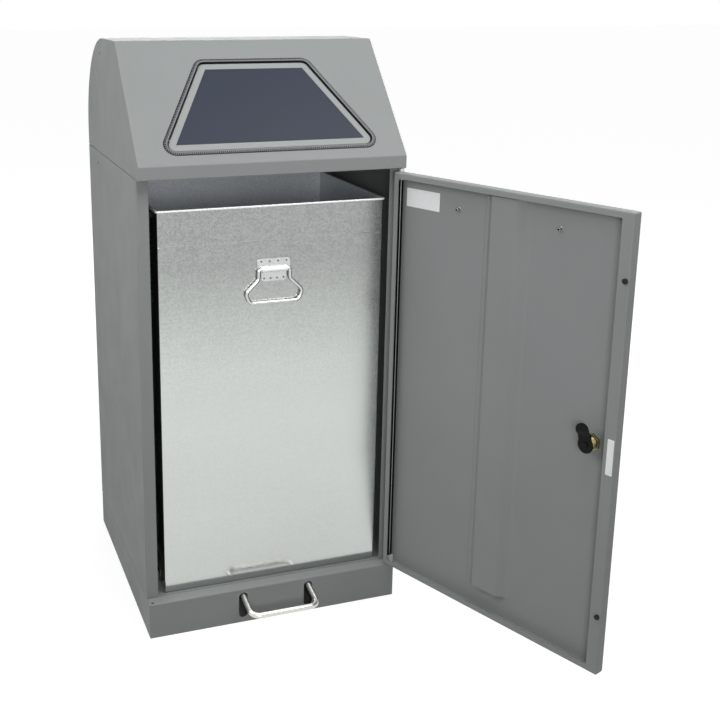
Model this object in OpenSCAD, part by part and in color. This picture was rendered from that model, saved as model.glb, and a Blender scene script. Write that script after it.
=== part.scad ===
// Pedal recycling bin: a sheet-steel cabinet on a plinth, with a hood, a flap worked by a pedal,
// a side-hung door and a galvanised inner container. It is drawn with the door open.
// +X is to the right seen from the front, the front faces -Y and +Z is up.
// The origin is on the floor, under the middle of the cabinet.

/* [Cabinet] */
// Width over the side panels
body_w = 455; // [445:1:560]
// Depth from the plinth's front face to the back panel
body_d = 460; // [440:1:560]
// Height from the floor to the top of the hood
body_h = 1000; // [980:1:1080]
// Thickness of the folded steel sheet
sheet = 1.5; // [1.2:0.1:1.8]
// Height of the plinth
plinth_h = 64; // [63:1:80]
// Height of the hood
hood_h = 207; // [200:1:225]
// How far the door opening lies behind the plinth's front face
door_recess = 22; // [21:0.5:30]
// Width of the front stile of each side panel
stile_w = 20; // [16:0.5:22]
// Width of the folded flanges of the plinth and the side panels
flange_w = 24; // [20:1:30]
// Thickness of the base plate
base_t = 2; // [1.5:0.1:3]
// Diameter of the rivet heads on the outside
rivet_d = 5; // [3:0.5:8]
// Height of the rivet heads on the outside
rivet_h = 0.8; // [0.4:0.1:1.5]
// Height of the strips that join the hood to the side panels
splice_h = 60; // [50:1:80]
// Distance of the side rivets behind the plinth's front face
rivet_in = 363; // [200:1:400]
// Distance of the side rivets below the hood's lower edge
rivet_drop = 22; // [10:1:28]

/* [Hood] */
// Height of the upright lip at the hood's front
lip_h = 23; // [18:1:30]
// Depth of the slope from the lip to the top
slope_run = 166; // [158:1:175]
// Radius of the bend at the hood's back
back_r = 180; // [120:1:190]
// Width of the lip's folded lower edge
lip_return = 20; // [14:1:21]
// Distance of the cross brace behind the start of the back's bend
brace_in = 30; // [15:1:40]
// Width of the cross brace
brace_w = 24; // [16:1:30]
// Height of the cross brace
brace_h = 14; // [10:1:20]
// Distance of the cross brace's middle below the top of the hood
brace_drop = 27; // [24:1:40]

/* [Flap] */
// Width of the inlay at its top edge
inlay_top_w = 170; // [140:1:180]
// Width of the inlay at its bottom edge
inlay_bottom_w = 320; // [300:1:330]
// Distance of the inlay's bottom edge up the slope
inlay_start = 39.5; // [38:0.5:42]
// Length of the inlay up the slope
inlay_len = 147; // [135:1:150]
// Thickness of the inlay
inlay_t = 0.8; // [0.5:0.1:1]
// Width of the flap's border round the inlay
flap_border = 12; // [10:0.5:14]
// Gap between the flap and the edge trim
flap_gap = 1.5; // [1:0.1:2.5]
// Depth of the flap's face below the hood's surface
flap_recess = 1; // [0.9:0.1:2]
// Depth of the flap's folded rim below the hood's surface
flap_t = 12; // [10:0.5:14]
// Width of the rubber edge trim
trim_w = 7.5; // [6:0.5:9]
// Thickness of the edge trim's web on the cut edge
trim_web = 4; // [2:0.5:5]
// Height of the edge trim above the hood's surface
trim_over = 2; // [1:0.1:3]
// Depth of the edge trim below the sheet
trim_under = 2; // [1:0.1:2.5]
// Diameter of the flap's shaft
shaft_d = 10; // [8:0.5:12]
// Distance of the shaft up the slope past the inlay
shaft_above = 18.5; // [17:0.5:22]
// Depth of the shaft below the hood's surface
shaft_depth = 16; // [15:0.5:20]
// Angle through which the flap opens
flap_open = 55; // [40:1:60]
// Distance of the flap's ears from its middle
ear_x = 70; // [50:1:80]
// Thickness of the flap's ears
ear_t = 3; // [2:0.5:5]
// Distance of the stop tabs from the flap's middle
tab_x = 110; // [60:1:140]
// Width of the stop tabs
tab_w = 24; // [16:1:40]

/* [Pedal] */
// Distance between the pedal's two arms
pedal_w = 121; // [90:1:130]
// Diameter of the pedal's bar
bar_d = 10; // [8:0.5:12]
// Distance of the pedal's bar in front of the plinth
pedal_reach = 54; // [45:1:70]
// Drop of the pedal's bar below its pivot
pedal_drop = 10; // [6:1:12]
// Bend radius of the pedal's bar
pedal_bend = 16; // [12:1:25]
// Distance of the pedal's pivot below the top of the plinth
pivot_drop = 13; // [12:0.5:15]
// Distance of the pedal's pivot behind the plinth's front face
pivot_in = 50; // [40:1:60]
// Diameter of the pedal's shaft
pedal_shaft_d = 12; // [10:0.5:13]
// Width of the two slots in the plinth
slot_w = 16; // [14:0.5:20]
// Height of the slots' lower end above the floor
slot_low = 9; // [6:1:10]
// Height of the lever's pin above the floor at rest
lever_pin_z = 16; // [15:0.5:17]

/* [Linkage] */
// Diameter of the push rod
rod_d = 8; // [6:0.5:8]
// Distance of the push rod from the side panel's outer face
rod_inset = 15.5; // [14:0.5:16]
// Thickness of the rod's ends, the lever and the crank
link_t = 5; // [4:0.5:5]
// Diameter of the pin at the rod's top
top_pin_d = 8; // [6:0.5:9]
// Diameter of the pin at the lever's end
lever_pin_d = 6; // [5:0.5:6.5]
// Radial play of the pin in the crank's slot
crank_play = 0.9; // [0.8:0.05:1.1]
// Radial play of the pin in the rod's lower slot
lever_play = 0.4; // [0.3:0.05:0.6]
// Distance of the crank's pin behind the flap's shaft
crank_reach = 35.8; // [34:0.1:37]
// Distance of the spring's upper end below the hood
spring_drop = 93; // [75:1:130]
// Length of the spring at rest
spring_len = 144; // [120:1:160]
// Outer diameter of the spring
spring_d = 16; // [14:0.5:16]
// Diameter of the spring's wire
spring_wire = 2.5; // [1.5:0.1:3]

/* [Container] */
// Space at each side between the container and the cabinet's outer face
cont_side = 30.5; // [30:0.5:40]
// Depth of the container
cont_d = 300; // [280:1:380]
// Distance of the container's rim below the hood
cont_drop = 52; // [48:1:90]
// Thickness of the container's sheet
cont_t = 1.5; // [1:0.1:2]
// Shift of the container to the right of the cabinet's middle
cont_shift = 2.5; // [0:0.5:3]
// Distance of the container's front behind the door opening
cont_gap = 5; // [4.8:0.1:8]
// Height of the container's folded hem
hem_h = 4; // [3:0.5:6]
// Width of the container's folded hem
hem_w = 2.5; // [1.5:0.1:3]
// Gap between the container and its guides
guide_gap = 1; // [0.8:0.1:2]
// Height of the guides on the cabinet floor
guide_h = 20; // [12:1:30]

/* [Carrying handle] */
// Distance of the handle's barrel below the container's rim
barrel_drop = 108.5; // [80:0.5:140]
// Length of the handle's barrel
barrel_len = 45; // [40:1:50]
// Outer diameter of the handle's barrel
barrel_d = 9.5; // [9:0.1:10]
// Diameter of the handle's wire
wire_d = 6; // [5:0.1:6.4]
// Width of the handle's upper plate
plate_w = 58; // [50:1:70]
// Height of the handle's upper plate above the barrel's middle
plate_up = 18; // [14:0.5:24]
// Height of the handle's lower plate below the barrel's middle
plate_down = 21; // [16:0.5:26]
// Half of the wire's width at its widest point
bail_half = 50.5; // [44:0.5:60]
// Length of the wire loop below the barrel
bail_drop = 59; // [50:1:80]

/* [Door] */
// Angle at which the door stands open
door_open = 112; // [0:1:150]
// Gap between the closed door and the door opening
door_back_gap = 4; // [3.5:0.1:6]
// Gap at each side between the door and the cabinet's outer face
door_side_gap = 1.5; // [1:0.1:3]
// Gap between the door and the plinth
door_low_gap = 2.5; // [2:0.1:4]
// Gap between the door and the hood
door_top_gap = 5; // [3:0.1:7]
// Distance of the hinge pins from the cabinet's side
hinge_in_x = 6.5; // [6:0.1:8]
// Distance of the hinge pins behind the plinth's front face
hinge_in_y = 5; // [4.8:0.1:6]
// Diameter of the hinge pins
hinge_pin_d = 5; // [4:0.1:5.2]
// Length of each hinge pin inside the door
hinge_pin_len = 12; // [8:1:16]
// Width of the door's rear flange on the lock side
rim_free = 19; // [15:0.5:22]
// Width of the door's rear flange on the hinge side
rim_hinge = 10; // [6:0.5:12]
// Width of the door's rear flange at the top and bottom
rim_end = 10; // [8:0.5:14]
// Distance of the stiffener's middle from the door's hinge edge
stiff_in = 226; // [190:1:260]
// Width of the stiffener's raised face
stiff_face = 48; // [40:1:60]
// Width of the stiffener at its foot
stiff_foot = 70; // [66:1:80]
// Height of the stiffener above the door's skin
stiff_h = 11; // [8:0.5:13]
// Distance of the rubber buffers from the door's free edge
buffer_in = 6; // [5:0.5:10]
// Distance of the buffers from the door's ends
buffer_end = 98; // [60:1:150]
// Width of the sticker inside the door
label_w = 72; // [40:1:80]
// Height of the sticker inside the door
label_h = 31; // [20:1:50]
// Distance of the sticker from the door's hinge edge
label_in = 16; // [14:1:40]
// Distance of the sticker from the door's top edge
label_drop = 26; // [20:1:60]
// Width of the sticker on the door's rear flange
strip_w = 11; // [8:0.5:13]
// Height of the sticker on the door's rear flange
strip_h = 56; // [40:1:80]

/* [Lock] */
// Distance of the lock from the door's free edge
lock_in = 48; // [41.5:0.5:50]
// Height of the lock above the floor
lock_z = 431; // [400:1:520]
// Diameter of the lock's barrel
lock_d = 19; // [17:0.5:20]
// Diameter of the lock's key plug
plug_d = 12; // [10:0.5:13]
// Thickness of the cam
cam_t = 2.5; // [2:0.1:2.6]
// Width of the cam's arm
cam_w = 22; // [16:0.5:24]
// Length of the cam's arm from the lock's axis
cam_len = 35; // [33:0.5:38]
// Angle of the cam's arm from upright when it is unlocked
cam_lean = 10; // [0:1:12]

/* [Hidden] */

// Clearances
running = 0.05;
snug = 0.02;
seat = 0.3;
overcut = 1;
round_fn = 64;

// Colours
body_grey = [0.52, 0.54, 0.54];
zinc_grey = [0.74, 0.77, 0.76];
steel_grey = [0.78, 0.78, 0.76];
flap_grey = [0.64, 0.66, 0.65];
inlay_blue = [0.27, 0.30, 0.36];
rubber_black = [0.10, 0.10, 0.11];
nylon_white = [0.88, 0.88, 0.85];
label_white = [0.86, 0.88, 0.88];
yellow_zinc = [0.72, 0.63, 0.35];

// Places in the cabinet
front = -body_d / 2;
back = body_d / 2;
half_w = body_w / 2;
inner_half = half_w - sheet;
opening_y = front + door_recess;
floor_top = plinth_h + sheet;
seam_h = body_h - hood_h;
rivet_z = seam_h - rivet_drop;

// Places on the hood
lip_top = seam_h + lip_h;
slope_rise = body_h - lip_top;
slope_angle = atan2(slope_rise, slope_run);
back_bend_y = back - back_r;
back_bend_z = body_h - back_r;
brace_y = back_bend_y + brace_in;
brace_z = body_h - brace_drop;

// Places on the flap, measured up the slope and out of it
inlay_top = inlay_start + inlay_len;
flap_top = inlay_top + flap_border;
flap_low = inlay_start - flap_border;
trim_inner = flap_border + flap_gap;
sheet_cut = trim_inner + trim_web;
trim_outer = trim_inner + trim_w;
flap_back = -flap_recess - sheet;
shaft_s = inlay_top + shaft_above;
shaft_y = front + shaft_s * cos(slope_angle) + shaft_depth * sin(slope_angle);
shaft_z = lip_top + shaft_s * sin(slope_angle) - shaft_depth * cos(slope_angle);
shaft_r = shaft_d / 2;
ear_wall = 4.5;
ear_hub = shaft_r + ear_wall;
ear_len = 35;
bush_len = 6;
flap_buffer_d = 7;
tab_gap = 2;
tab_depth = 4;
flap_buffer_s = inlay_start - trim_outer - tab_gap - flap_buffer_d / 2;
tab_low = flap_buffer_s - flap_buffer_d / 2 - 1;
tab_face = -sheet - trim_under - tab_depth;

// Places of the linkage
rod_x = -(half_w - rod_inset);
pivot_y = front + pivot_in;
pivot_z = plinth_h - pivot_drop;
rod_y = shaft_y + crank_reach;
lever_len = rod_y - pivot_y;
spring_top = seam_h - spring_drop;
rod_lift = 2 * crank_reach * tan(flap_open / 2);
top_pin_z = shaft_z - crank_reach * tan(flap_open / 2);
lever_rest = asin((pivot_z - lever_pin_z) / lever_len);
lever_pin_y = pivot_y + lever_len * cos(lever_rest);
pedal_travel = lever_rest + asin((lever_pin_z + rod_lift - pivot_z) / lever_len);
link_x = rod_x + link_t + 0.5;
link_end = 3.5;
rod_end_half = lever_pin_d / 2 + lever_play + link_end;
crank_slot_half = top_pin_d / 2 + crank_play;
pedal_tilt = atan2(pedal_drop, pedal_reach);
slot_top = pivot_z + bar_d / 2 + 1;
bracket_x = [-(half_w - 37.5), pedal_w / 2 + 18];
bracket_t = 3;
bracket_w = 30;
pedal_bush_t = 2;
pedal_bush_len = 10;
guide_block_h = 12;
guide_w = rod_d + 8;
collar_h = 8;
collar_z = spring_top - spring_len;

// Places of the container
cont_w = body_w - 2 * cont_side;
cont_top = seam_h - cont_drop;
barrel_z = cont_top - barrel_drop;
cont_y = opening_y + cont_gap;
cont_left = cont_shift - cont_w / 2;
cont_right = cont_shift + cont_w / 2;
cont_back = cont_y + cont_d;
barrel_y = cont_y - barrel_d / 2 - 0.2;
wire_r = wire_d / 2;
bail_side = barrel_len / 2 + wire_r + 1.5;
plate_t = 1.5;
plate_rivet_d = 3.2;
handle_rivet_h = 0.8;

// Places on the door, with the door closed
door_half = half_w - door_side_gap;
door_low = plinth_h + door_low_gap;
door_high = seam_h - door_top_gap;
hinge_x = half_w - hinge_in_x;
hinge_y = front + hinge_in_y;
hinge_pin_r = hinge_pin_d / 2;
pin_head_r = hinge_in_y - sheet - 0.1;
pin_head_h = 3;
washer_r = hinge_in_y - 0.5;
washer_gap = 0.15;
door_t = door_recess - door_back_gap;
rim_y = front + door_t;
stud_h = 0.5;
buffer_len = door_back_gap - stud_h - seat;
block_wall = 3;
buffer_x = -(door_half - buffer_in);
buffer_zs = [door_low + buffer_end, door_high - buffer_end];
lock_x = -(door_half - lock_in);
lock_r = lock_d / 2;
plug_r = plug_d / 2;
lock_body_len = door_t - 3;
cam_y = rim_y + 1;
cam_hook_y = opening_y + sheet + seat;

// An outline drawn in Y and Z, given a length along X about x = 0
module along_x(length) {
    translate([-length / 2, 0, 0]) rotate([90, 0, 90]) linear_extrude(length) children();
}

// A round bar along X from one x to another
module bar_x(x0, x1, r) {
    translate([x0, 0, 0]) rotate([0, 90, 0]) cylinder(r = r, h = x1 - x0, $fn = round_fn);
}

// A round bar along Y from one y to another
module bar_y(y0, y1, r) {
    translate([0, y1, 0]) rotate([90, 0, 0]) cylinder(r = r, h = y1 - y0, $fn = round_fn);
}

// A box given by its low and high corners
module box(low, high) {
    translate(low) cube(high - low);
}

// Slope coordinates: X across, Y up the slope from the lip, Z out of the hood
module on_slope() {
    translate([0, front, lip_top]) rotate([slope_angle, 0, 0]) children();
}

// The door swung open about its hinge pins
module swing_door() {
    translate([hinge_x, hinge_y, 0]) rotate([0, 0, door_open]) translate([-hinge_x, -hinge_y, 0])
        children();
}

// The hood seen from the side, drawn in by some inset and cut off below the seam
module hood_outline(inset, below = 0) {
    foot_z = lip_top + inset * (sin(slope_angle) - 1) / cos(slope_angle);
    head_y = front + (inset + (slope_rise - inset) * cos(slope_angle)) / sin(slope_angle);
    difference() {
        polygon([
            [front + inset, seam_h - below], [front + inset, foot_z], [head_y, body_h - inset],
            [back - inset, body_h - inset], [back - inset, seam_h - below],
        ]);
        translate([back_bend_y, back_bend_z]) difference() {
            square(back_r + overcut);
            circle(r = back_r - inset, $fn = 96);
        }
    }
}

// The four corners of the inlay, and the angle at which each one's rounding starts and ends
inlay_corners = [
    [-inlay_bottom_w / 2, inlay_start], [inlay_bottom_w / 2, inlay_start],
    [inlay_top_w / 2, inlay_top], [-inlay_top_w / 2, inlay_top],
];
side_lean = atan2((inlay_bottom_w - inlay_top_w) / 2, inlay_len);
corner_arcs = [[180 - side_lean, 270], [-90, side_lean], [side_lean, 90], [90, 180 - side_lean]];
corner_steps = 8;

// The inlay's outline grown by some width, with round corners
module flap_outline(grow) {
    if (grow == 0) {
        polygon(inlay_corners);
    } else {
        polygon([
            for (k = [0:3], i = [0:corner_steps])
                let (a = corner_arcs[k][0] + (corner_arcs[k][1] - corner_arcs[k][0]) * i / corner_steps)
                    inlay_corners[k] + grow * [cos(a), sin(a)]
        ]);
    }
}

module plinth() {
    color(body_grey) difference() {
        box([-half_w, front, 0], [half_w, back, plinth_h]);
        box([-inner_half, front + sheet, -overcut], [inner_half, back - sheet, plinth_h - sheet]);
        box(
            [-inner_half + flange_w, front + sheet + flange_w, -overcut],
            [inner_half - flange_w, back - sheet - flange_w, plinth_h + overcut]
        );
        for (side = [-1, 1]) {
            translate([side * pedal_w / 2, 0, 0]) pedal_slot();
            translate([side * hinge_x, hinge_y, plinth_h - 2 * sheet])
                cylinder(r = hinge_pin_r + snug, h = 3 * sheet, $fn = round_fn);
        }
        translate([rod_x, rod_y, plinth_h - 2 * sheet])
            cylinder(r = guide_w / 2, h = 3 * sheet, $fn = round_fn);
    }
}

module pedal_slot() {
    half = slot_w / 2;
    box([-half, front - overcut, slot_low + half], [half, front + 2 * sheet, slot_top - half]);
    for (z = [slot_low + half, slot_top - half])
        translate([0, 0, z]) bar_y(front - overcut, front + 2 * sheet, half);
}

module base_plate() {
    color(body_grey) box([-inner_half, front + sheet, 0], [inner_half, back - sheet, base_t]);
}

module cabinet_floor() {
    color(body_grey) difference() {
        box([-inner_half, opening_y + sheet, plinth_h], [inner_half, back - sheet, floor_top]);
        translate([rod_x, rod_y, plinth_h - overcut])
            cylinder(r = rod_d / 2 + 2 + snug, h = sheet + 2 * overcut, $fn = round_fn);
    }
}

module side_panel(side) {
    color(body_grey) mirror([side > 0 ? 1 : 0, 0, 0]) {
        box([-half_w, opening_y, plinth_h], [-inner_half, back, seam_h]);
        box(
            [-half_w, back - 2 * sheet, floor_top],
            [-inner_half + flange_w, back - sheet, seam_h]
        );
    }
}

module left_side_panel() {
    side_panel(-1);
}

module right_side_panel() {
    side_panel(1);
}

// A strip welded along the front edge of a side panel, which frames the door opening
module front_stile(side) {
    color(body_grey) mirror([side > 0 ? 1 : 0, 0, 0])
        box([-inner_half, opening_y, plinth_h], [-half_w + stile_w, opening_y + sheet, seam_h]);
}

module left_front_stile() {
    front_stile(-1);
}

module right_front_stile() {
    front_stile(1);
}

module back_panel() {
    color(body_grey) box([-inner_half, back - sheet, plinth_h], [inner_half, back, seam_h]);
}

module hood_shell() {
    color(body_grey) {
        difference() {
            along_x(body_w) difference() {
                hood_outline(0);
                hood_outline(sheet, overcut);
            }
            on_slope() translate([0, 0, -2 * sheet]) linear_extrude(4 * sheet) flap_outline(sheet_cut);
        }
        difference() {
            box([-inner_half, front + sheet, seam_h], [inner_half, front + lip_return, seam_h + sheet]);
            for (side = [-1, 1])
                translate([side * hinge_x, hinge_y, seam_h - overcut])
                    cylinder(r = hinge_pin_r + snug, h = 3 * sheet, $fn = round_fn);
        }
    }
}

module hood_cheek(side) {
    color(body_grey) translate([side * (inner_half + sheet / 2), 0, 0]) along_x(sheet) hood_outline(sheet);
}

module hood_left_cheek() {
    hood_cheek(-1);
}

module hood_right_cheek() {
    hood_cheek(1);
}

module splice_strip(side) {
    margin = 2 * flange_w;
    color(body_grey) mirror([side > 0 ? 1 : 0, 0, 0])
        box(
            [-inner_half, front + margin, seam_h - splice_h / 2],
            [-inner_half + sheet, back - margin, seam_h + splice_h / 2]
        );
}

module left_splice_strip() {
    splice_strip(-1);
}

module right_splice_strip() {
    splice_strip(1);
}

module hood_brace() {
    color(body_grey) translate([0, brace_y, brace_z]) along_x(2 * inner_half) difference() {
        translate([-brace_w / 2, -brace_h / 2]) square([brace_w, brace_h]);
        translate([-brace_w / 2 + sheet, -brace_h / 2 - overcut])
            square([brace_w - 2 * sheet, brace_h - sheet + overcut]);
    }
}

module body_rivets() {
    places = [[front + rivet_in, rivet_z], [brace_y, brace_z]];
    color(body_grey) for (side = [-1, 1], p = places)
        translate([side * half_w, p.x, p.y]) rotate([0, side * 90, 0])
            cylinder(r1 = rivet_d / 2, r2 = rivet_d / 2 - rivet_h, h = rivet_h, $fn = 32);
}

module opening_trim() {
    color(rubber_black) on_slope() difference() {
        translate([0, 0, -sheet - trim_under]) linear_extrude(sheet + trim_under + trim_over) difference() {
            flap_outline(trim_outer);
            flap_outline(trim_inner);
        }
        translate([0, 0, -sheet]) linear_extrude(sheet) difference() {
            flap_outline(trim_outer + overcut);
            flap_outline(sheet_cut);
        }
    }
}

module flap_bush(side) {
    color(nylon_white) translate([0, shaft_y, shaft_z]) difference() {
        bar_x(
            side < 0 ? -inner_half : inner_half - bush_len,
            side < 0 ? -inner_half + bush_len : inner_half, shaft_d
        );
        bar_x(-half_w, half_w, shaft_r + running);
    }
}

module flap_bush_left() {
    flap_bush(-1);
}

module flap_bush_right() {
    flap_bush(1);
}

module flap_panel() {
    color(flap_grey) on_slope() {
        translate([0, 0, flap_back]) linear_extrude(sheet) flap_outline(flap_border);
        translate([0, 0, -flap_t]) linear_extrude(flap_t + flap_back) difference() {
            flap_outline(flap_border);
            flap_outline(flap_border - sheet);
        }
        for (side = [-1, 1]) {
            translate([side * ear_x, 0, 0]) along_x(ear_t) flap_ear();
            box(
                [side * tab_x - tab_w / 2, tab_low, tab_face - sheet],
                [side * tab_x + tab_w / 2, flap_low + sheet, tab_face]
            );
        }
    }
}

module flap_ear() {
    difference() {
        union() {
            polygon([
                [flap_top - ear_len, flap_back], [flap_top - sheet, flap_back],
                [flap_top - sheet, -shaft_depth + ear_hub], [shaft_s, -shaft_depth + ear_hub],
                [shaft_s, -shaft_depth - ear_hub], [flap_top - ear_len, -flap_t],
            ]);
            translate([shaft_s, -shaft_depth]) circle(r = ear_hub, $fn = round_fn);
        }
        translate([shaft_s, -shaft_depth]) circle(r = shaft_r + snug, $fn = round_fn);
    }
}

module flap_inlay() {
    color(inlay_blue) on_slope() translate([0, 0, -flap_recess]) linear_extrude(inlay_t) flap_outline(0);
}

module flap_buffers() {
    color(rubber_black) on_slope() for (side = [-1, 1])
        translate([side * tab_x, flap_buffer_s, tab_face])
            cylinder(d = flap_buffer_d, h = -sheet - seat - tab_face, $fn = 32);
}

module flap_shaft() {
    color(steel_grey) translate([0, shaft_y, shaft_z]) bar_x(-inner_half + 0.5, inner_half - 0.5, shaft_r);
}

// A slot with round ends along Y, as an outline
module slot_outline(y0, y1, half) {
    translate([y0, -half]) square([y1 - y0, 2 * half]);
    for (y = [y0, y1]) translate([y, 0]) circle(r = half, $fn = round_fn);
}

module flap_crank() {
    near = crank_reach - 0.8;
    far = crank_reach / cos(flap_open / 2) + 0.8;
    color(steel_grey) translate([link_x + link_t / 2, shaft_y, shaft_z])
        rotate([-flap_open / 2, 0, 0]) along_x(link_t) difference() {
            union() {
                circle(r = shaft_r + 6, $fn = round_fn);
                slot_outline(0, far, crank_slot_half + link_end);
            }
            circle(r = shaft_r + snug, $fn = round_fn);
            slot_outline(near, far, crank_slot_half);
        }
}

module push_rod() {
    color(steel_grey) translate([rod_x, 0, 0]) {
        translate([0, 0, lever_pin_z]) along_x(link_t) difference() {
            translate([lever_pin_y - rod_end_half - seat, -rod_end_half])
                square([rod_y - lever_pin_y + 2 * (rod_end_half + seat), 2 * rod_end_half]);
            slot_outline(lever_pin_y - seat, rod_y + seat, lever_pin_d / 2 + lever_play);
        }
        translate([0, rod_y, lever_pin_z + rod_end_half])
            cylinder(d = rod_d, h = top_pin_z - top_pin_d - lever_pin_z - rod_end_half, $fn = round_fn);
        translate([0, rod_y, top_pin_z]) along_x(link_t) difference() {
            translate([-top_pin_d, -top_pin_d]) square(2 * top_pin_d);
            circle(r = top_pin_d / 2 + snug, $fn = round_fn);
        }
    }
}

module rod_top_pin() {
    outer = rod_x - link_t / 2;
    color(steel_grey) translate([0, rod_y, top_pin_z]) {
        bar_x(outer, link_x + link_t + 2, top_pin_d / 2);
        bar_x(outer - 2, outer, top_pin_d / 2 + 2);
    }
}

module rod_collar() {
    color(steel_grey) translate([rod_x, rod_y, collar_z - collar_h])
        ring(spring_d / 2, rod_d / 2 + snug, collar_h);
}

module return_spring() {
    color(steel_grey) translate([rod_x, rod_y, collar_z])
        ring(spring_d / 2, spring_d / 2 - spring_wire, spring_len);
}

// A flat ring or a tube standing on z = 0
module ring(outer_r, inner_r, h) {
    difference() {
        cylinder(r = outer_r, h = h, $fn = round_fn);
        translate([0, 0, -overcut]) cylinder(r = inner_r, h = h + 2 * overcut, $fn = round_fn);
    }
}

module rod_guide_upper() {
    color(nylon_white) difference() {
        box(
            [-inner_half, rod_y - guide_w / 2, spring_top],
            [rod_x + guide_w / 2, rod_y + guide_w / 2, spring_top + guide_block_h]
        );
        translate([rod_x, rod_y, spring_top - overcut])
            cylinder(r = rod_d / 2 + running, h = guide_block_h + 2 * overcut, $fn = round_fn);
    }
}

module rod_guide_lower() {
    color(nylon_white) translate([rod_x, rod_y, 0]) difference() {
        union() {
            translate([0, 0, floor_top]) cylinder(r = guide_w / 2, h = guide_block_h, $fn = round_fn);
            translate([0, 0, plinth_h]) cylinder(r = rod_d / 2 + 2, h = sheet, $fn = round_fn);
        }
        translate([0, 0, plinth_h - overcut])
            cylinder(r = rod_d / 2 + running, h = guide_block_h + sheet + 2 * overcut, $fn = round_fn);
    }
}

module pedal_bracket(x) {
    outer_r = pedal_shaft_d / 2 + pedal_bush_t;
    color(body_grey) {
        translate([x + bracket_t / 2, pivot_y, 0]) along_x(bracket_t) difference() {
            union() {
                translate([-bracket_w / 2, base_t]) square([bracket_w, pivot_z - base_t - outer_r]);
                translate([-outer_r - 2, base_t]) square([2 * (outer_r + 2), pivot_z - base_t]);
                translate([0, pivot_z]) circle(r = outer_r + 2, $fn = round_fn);
            }
            translate([0, pivot_z]) circle(r = outer_r + snug, $fn = round_fn);
        }
        box(
            [x + bracket_t, pivot_y - bracket_w / 2, base_t],
            [x + bracket_w, pivot_y + bracket_w / 2, base_t + bracket_t]
        );
    }
}

module pedal_bracket_left() {
    pedal_bracket(bracket_x[0]);
}

module pedal_bracket_right() {
    pedal_bracket(bracket_x[1]);
}

module pedal_bushes() {
    color(nylon_white) for (x = bracket_x)
        translate([x + bracket_t / 2, pivot_y, pivot_z]) difference() {
            bar_x(-pedal_bush_len / 2, pedal_bush_len / 2, pedal_shaft_d / 2 + pedal_bush_t);
            bar_x(-pedal_bush_len, pedal_bush_len, pedal_shaft_d / 2 + running);
        }
}

module pedal_stop() {
    color(rubber_black) translate([link_x + link_t / 2, lever_pin_y, base_t])
        cylinder(d = 9, h = lever_pin_z - lever_pin_d / 2 - link_end - seat - base_t, $fn = 32);
}

// The arms run level from the shaft to the plinth's face and slope down from there to the bar
module pedal_bar() {
    arm_end = norm([pedal_reach, pedal_drop]);
    r = bar_d / 2;
    color(steel_grey) {
        difference() {
            for (side = [-1, 1])
                translate([side * pedal_w / 2, 0, pivot_z]) bar_y(front, pivot_y, r);
            translate([0, pivot_y, pivot_z]) bar_x(-pedal_w, pedal_w, pedal_shaft_d / 2 + snug);
        }
        translate([0, front, pivot_z]) rotate([pedal_tilt, 0, 0]) {
            for (side = [-1, 1]) {
                translate([side * pedal_w / 2, 0, 0]) sphere(r = r + snug, $fn = round_fn);
                translate([side * pedal_w / 2, 0, 0]) bar_y(-arm_end + pedal_bend, 0, r);
                translate([side * (pedal_w / 2 - pedal_bend), -arm_end + pedal_bend, 0])
                    rotate([0, 0, side < 0 ? 180 : 270]) rotate_extrude(angle = 90, $fn = 96)
                        translate([pedal_bend, 0]) circle(r = r, $fn = round_fn);
            }
            translate([0, -arm_end, 0]) bar_x(-pedal_w / 2 + pedal_bend, pedal_w / 2 - pedal_bend, r);
        }
    }
}

module pedal_shaft() {
    color(steel_grey) translate([0, pivot_y, pivot_z])
        bar_x(link_x - 2, bracket_x[1] + pedal_bush_len, pedal_shaft_d / 2);
}

module pedal_lever() {
    end_r = lever_pin_d / 2 + link_end;
    color(steel_grey) translate([link_x + link_t / 2, pivot_y, pivot_z])
        rotate([-lever_rest, 0, 0]) along_x(link_t) difference() {
            union() {
                circle(r = pedal_shaft_d / 2 + 3, $fn = round_fn);
                translate([0, -end_r]) square([lever_len, 2 * end_r]);
                translate([lever_len, 0]) circle(r = end_r, $fn = round_fn);
            }
            circle(r = pedal_shaft_d / 2 + snug, $fn = round_fn);
            translate([lever_len, 0]) circle(r = lever_pin_d / 2 + snug, $fn = round_fn);
        }
}

module lever_pin() {
    outer = rod_x - link_t / 2 - 0.5;
    inner = link_x + link_t;
    color(steel_grey) translate([0, lever_pin_y, lever_pin_z]) {
        bar_x(outer, inner, lever_pin_d / 2);
        bar_x(outer - 1.5, outer, lever_pin_d / 2 + 2);
        bar_x(inner, inner + 1.5, lever_pin_d / 2 + 2);
    }
}

module container_shell() {
    color(zinc_grey) difference() {
        union() {
            box([cont_left, cont_y, floor_top], [cont_right, cont_back, cont_top]);
            box(
                [cont_left - hem_w, cont_y - hem_w, cont_top - hem_h],
                [cont_right + hem_w, cont_back + hem_w, cont_top]
            );
        }
        box(
            [cont_left + cont_t, cont_y + cont_t, floor_top + cont_t],
            [cont_right - cont_t, cont_back - cont_t, cont_top + overcut]
        );
    }
}

module handle_plate() {
    color(zinc_grey) translate([cont_shift, 0, barrel_z]) difference() {
        union() {
            box([-plate_w / 2, cont_y - plate_t, 0], [plate_w / 2, cont_y, plate_up]);
            box([-barrel_len / 2, cont_y - plate_t, -plate_down], [barrel_len / 2, cont_y, 0]);
            translate([0, barrel_y, 0]) bar_x(-barrel_len / 2, barrel_len / 2, barrel_d / 2);
        }
        translate([0, barrel_y, 0]) bar_x(-plate_w, plate_w, wire_r + running);
        box(
            [-plate_w, barrel_y - wire_d, -wire_r - 1],
            [-barrel_len / 2, cont_y + overcut, barrel_d / 2 + 1]
        );
        box(
            [barrel_len / 2, barrel_y - wire_d, -wire_r - 1],
            [plate_w, cont_y + overcut, barrel_d / 2 + 1]
        );
    }
}

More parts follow.
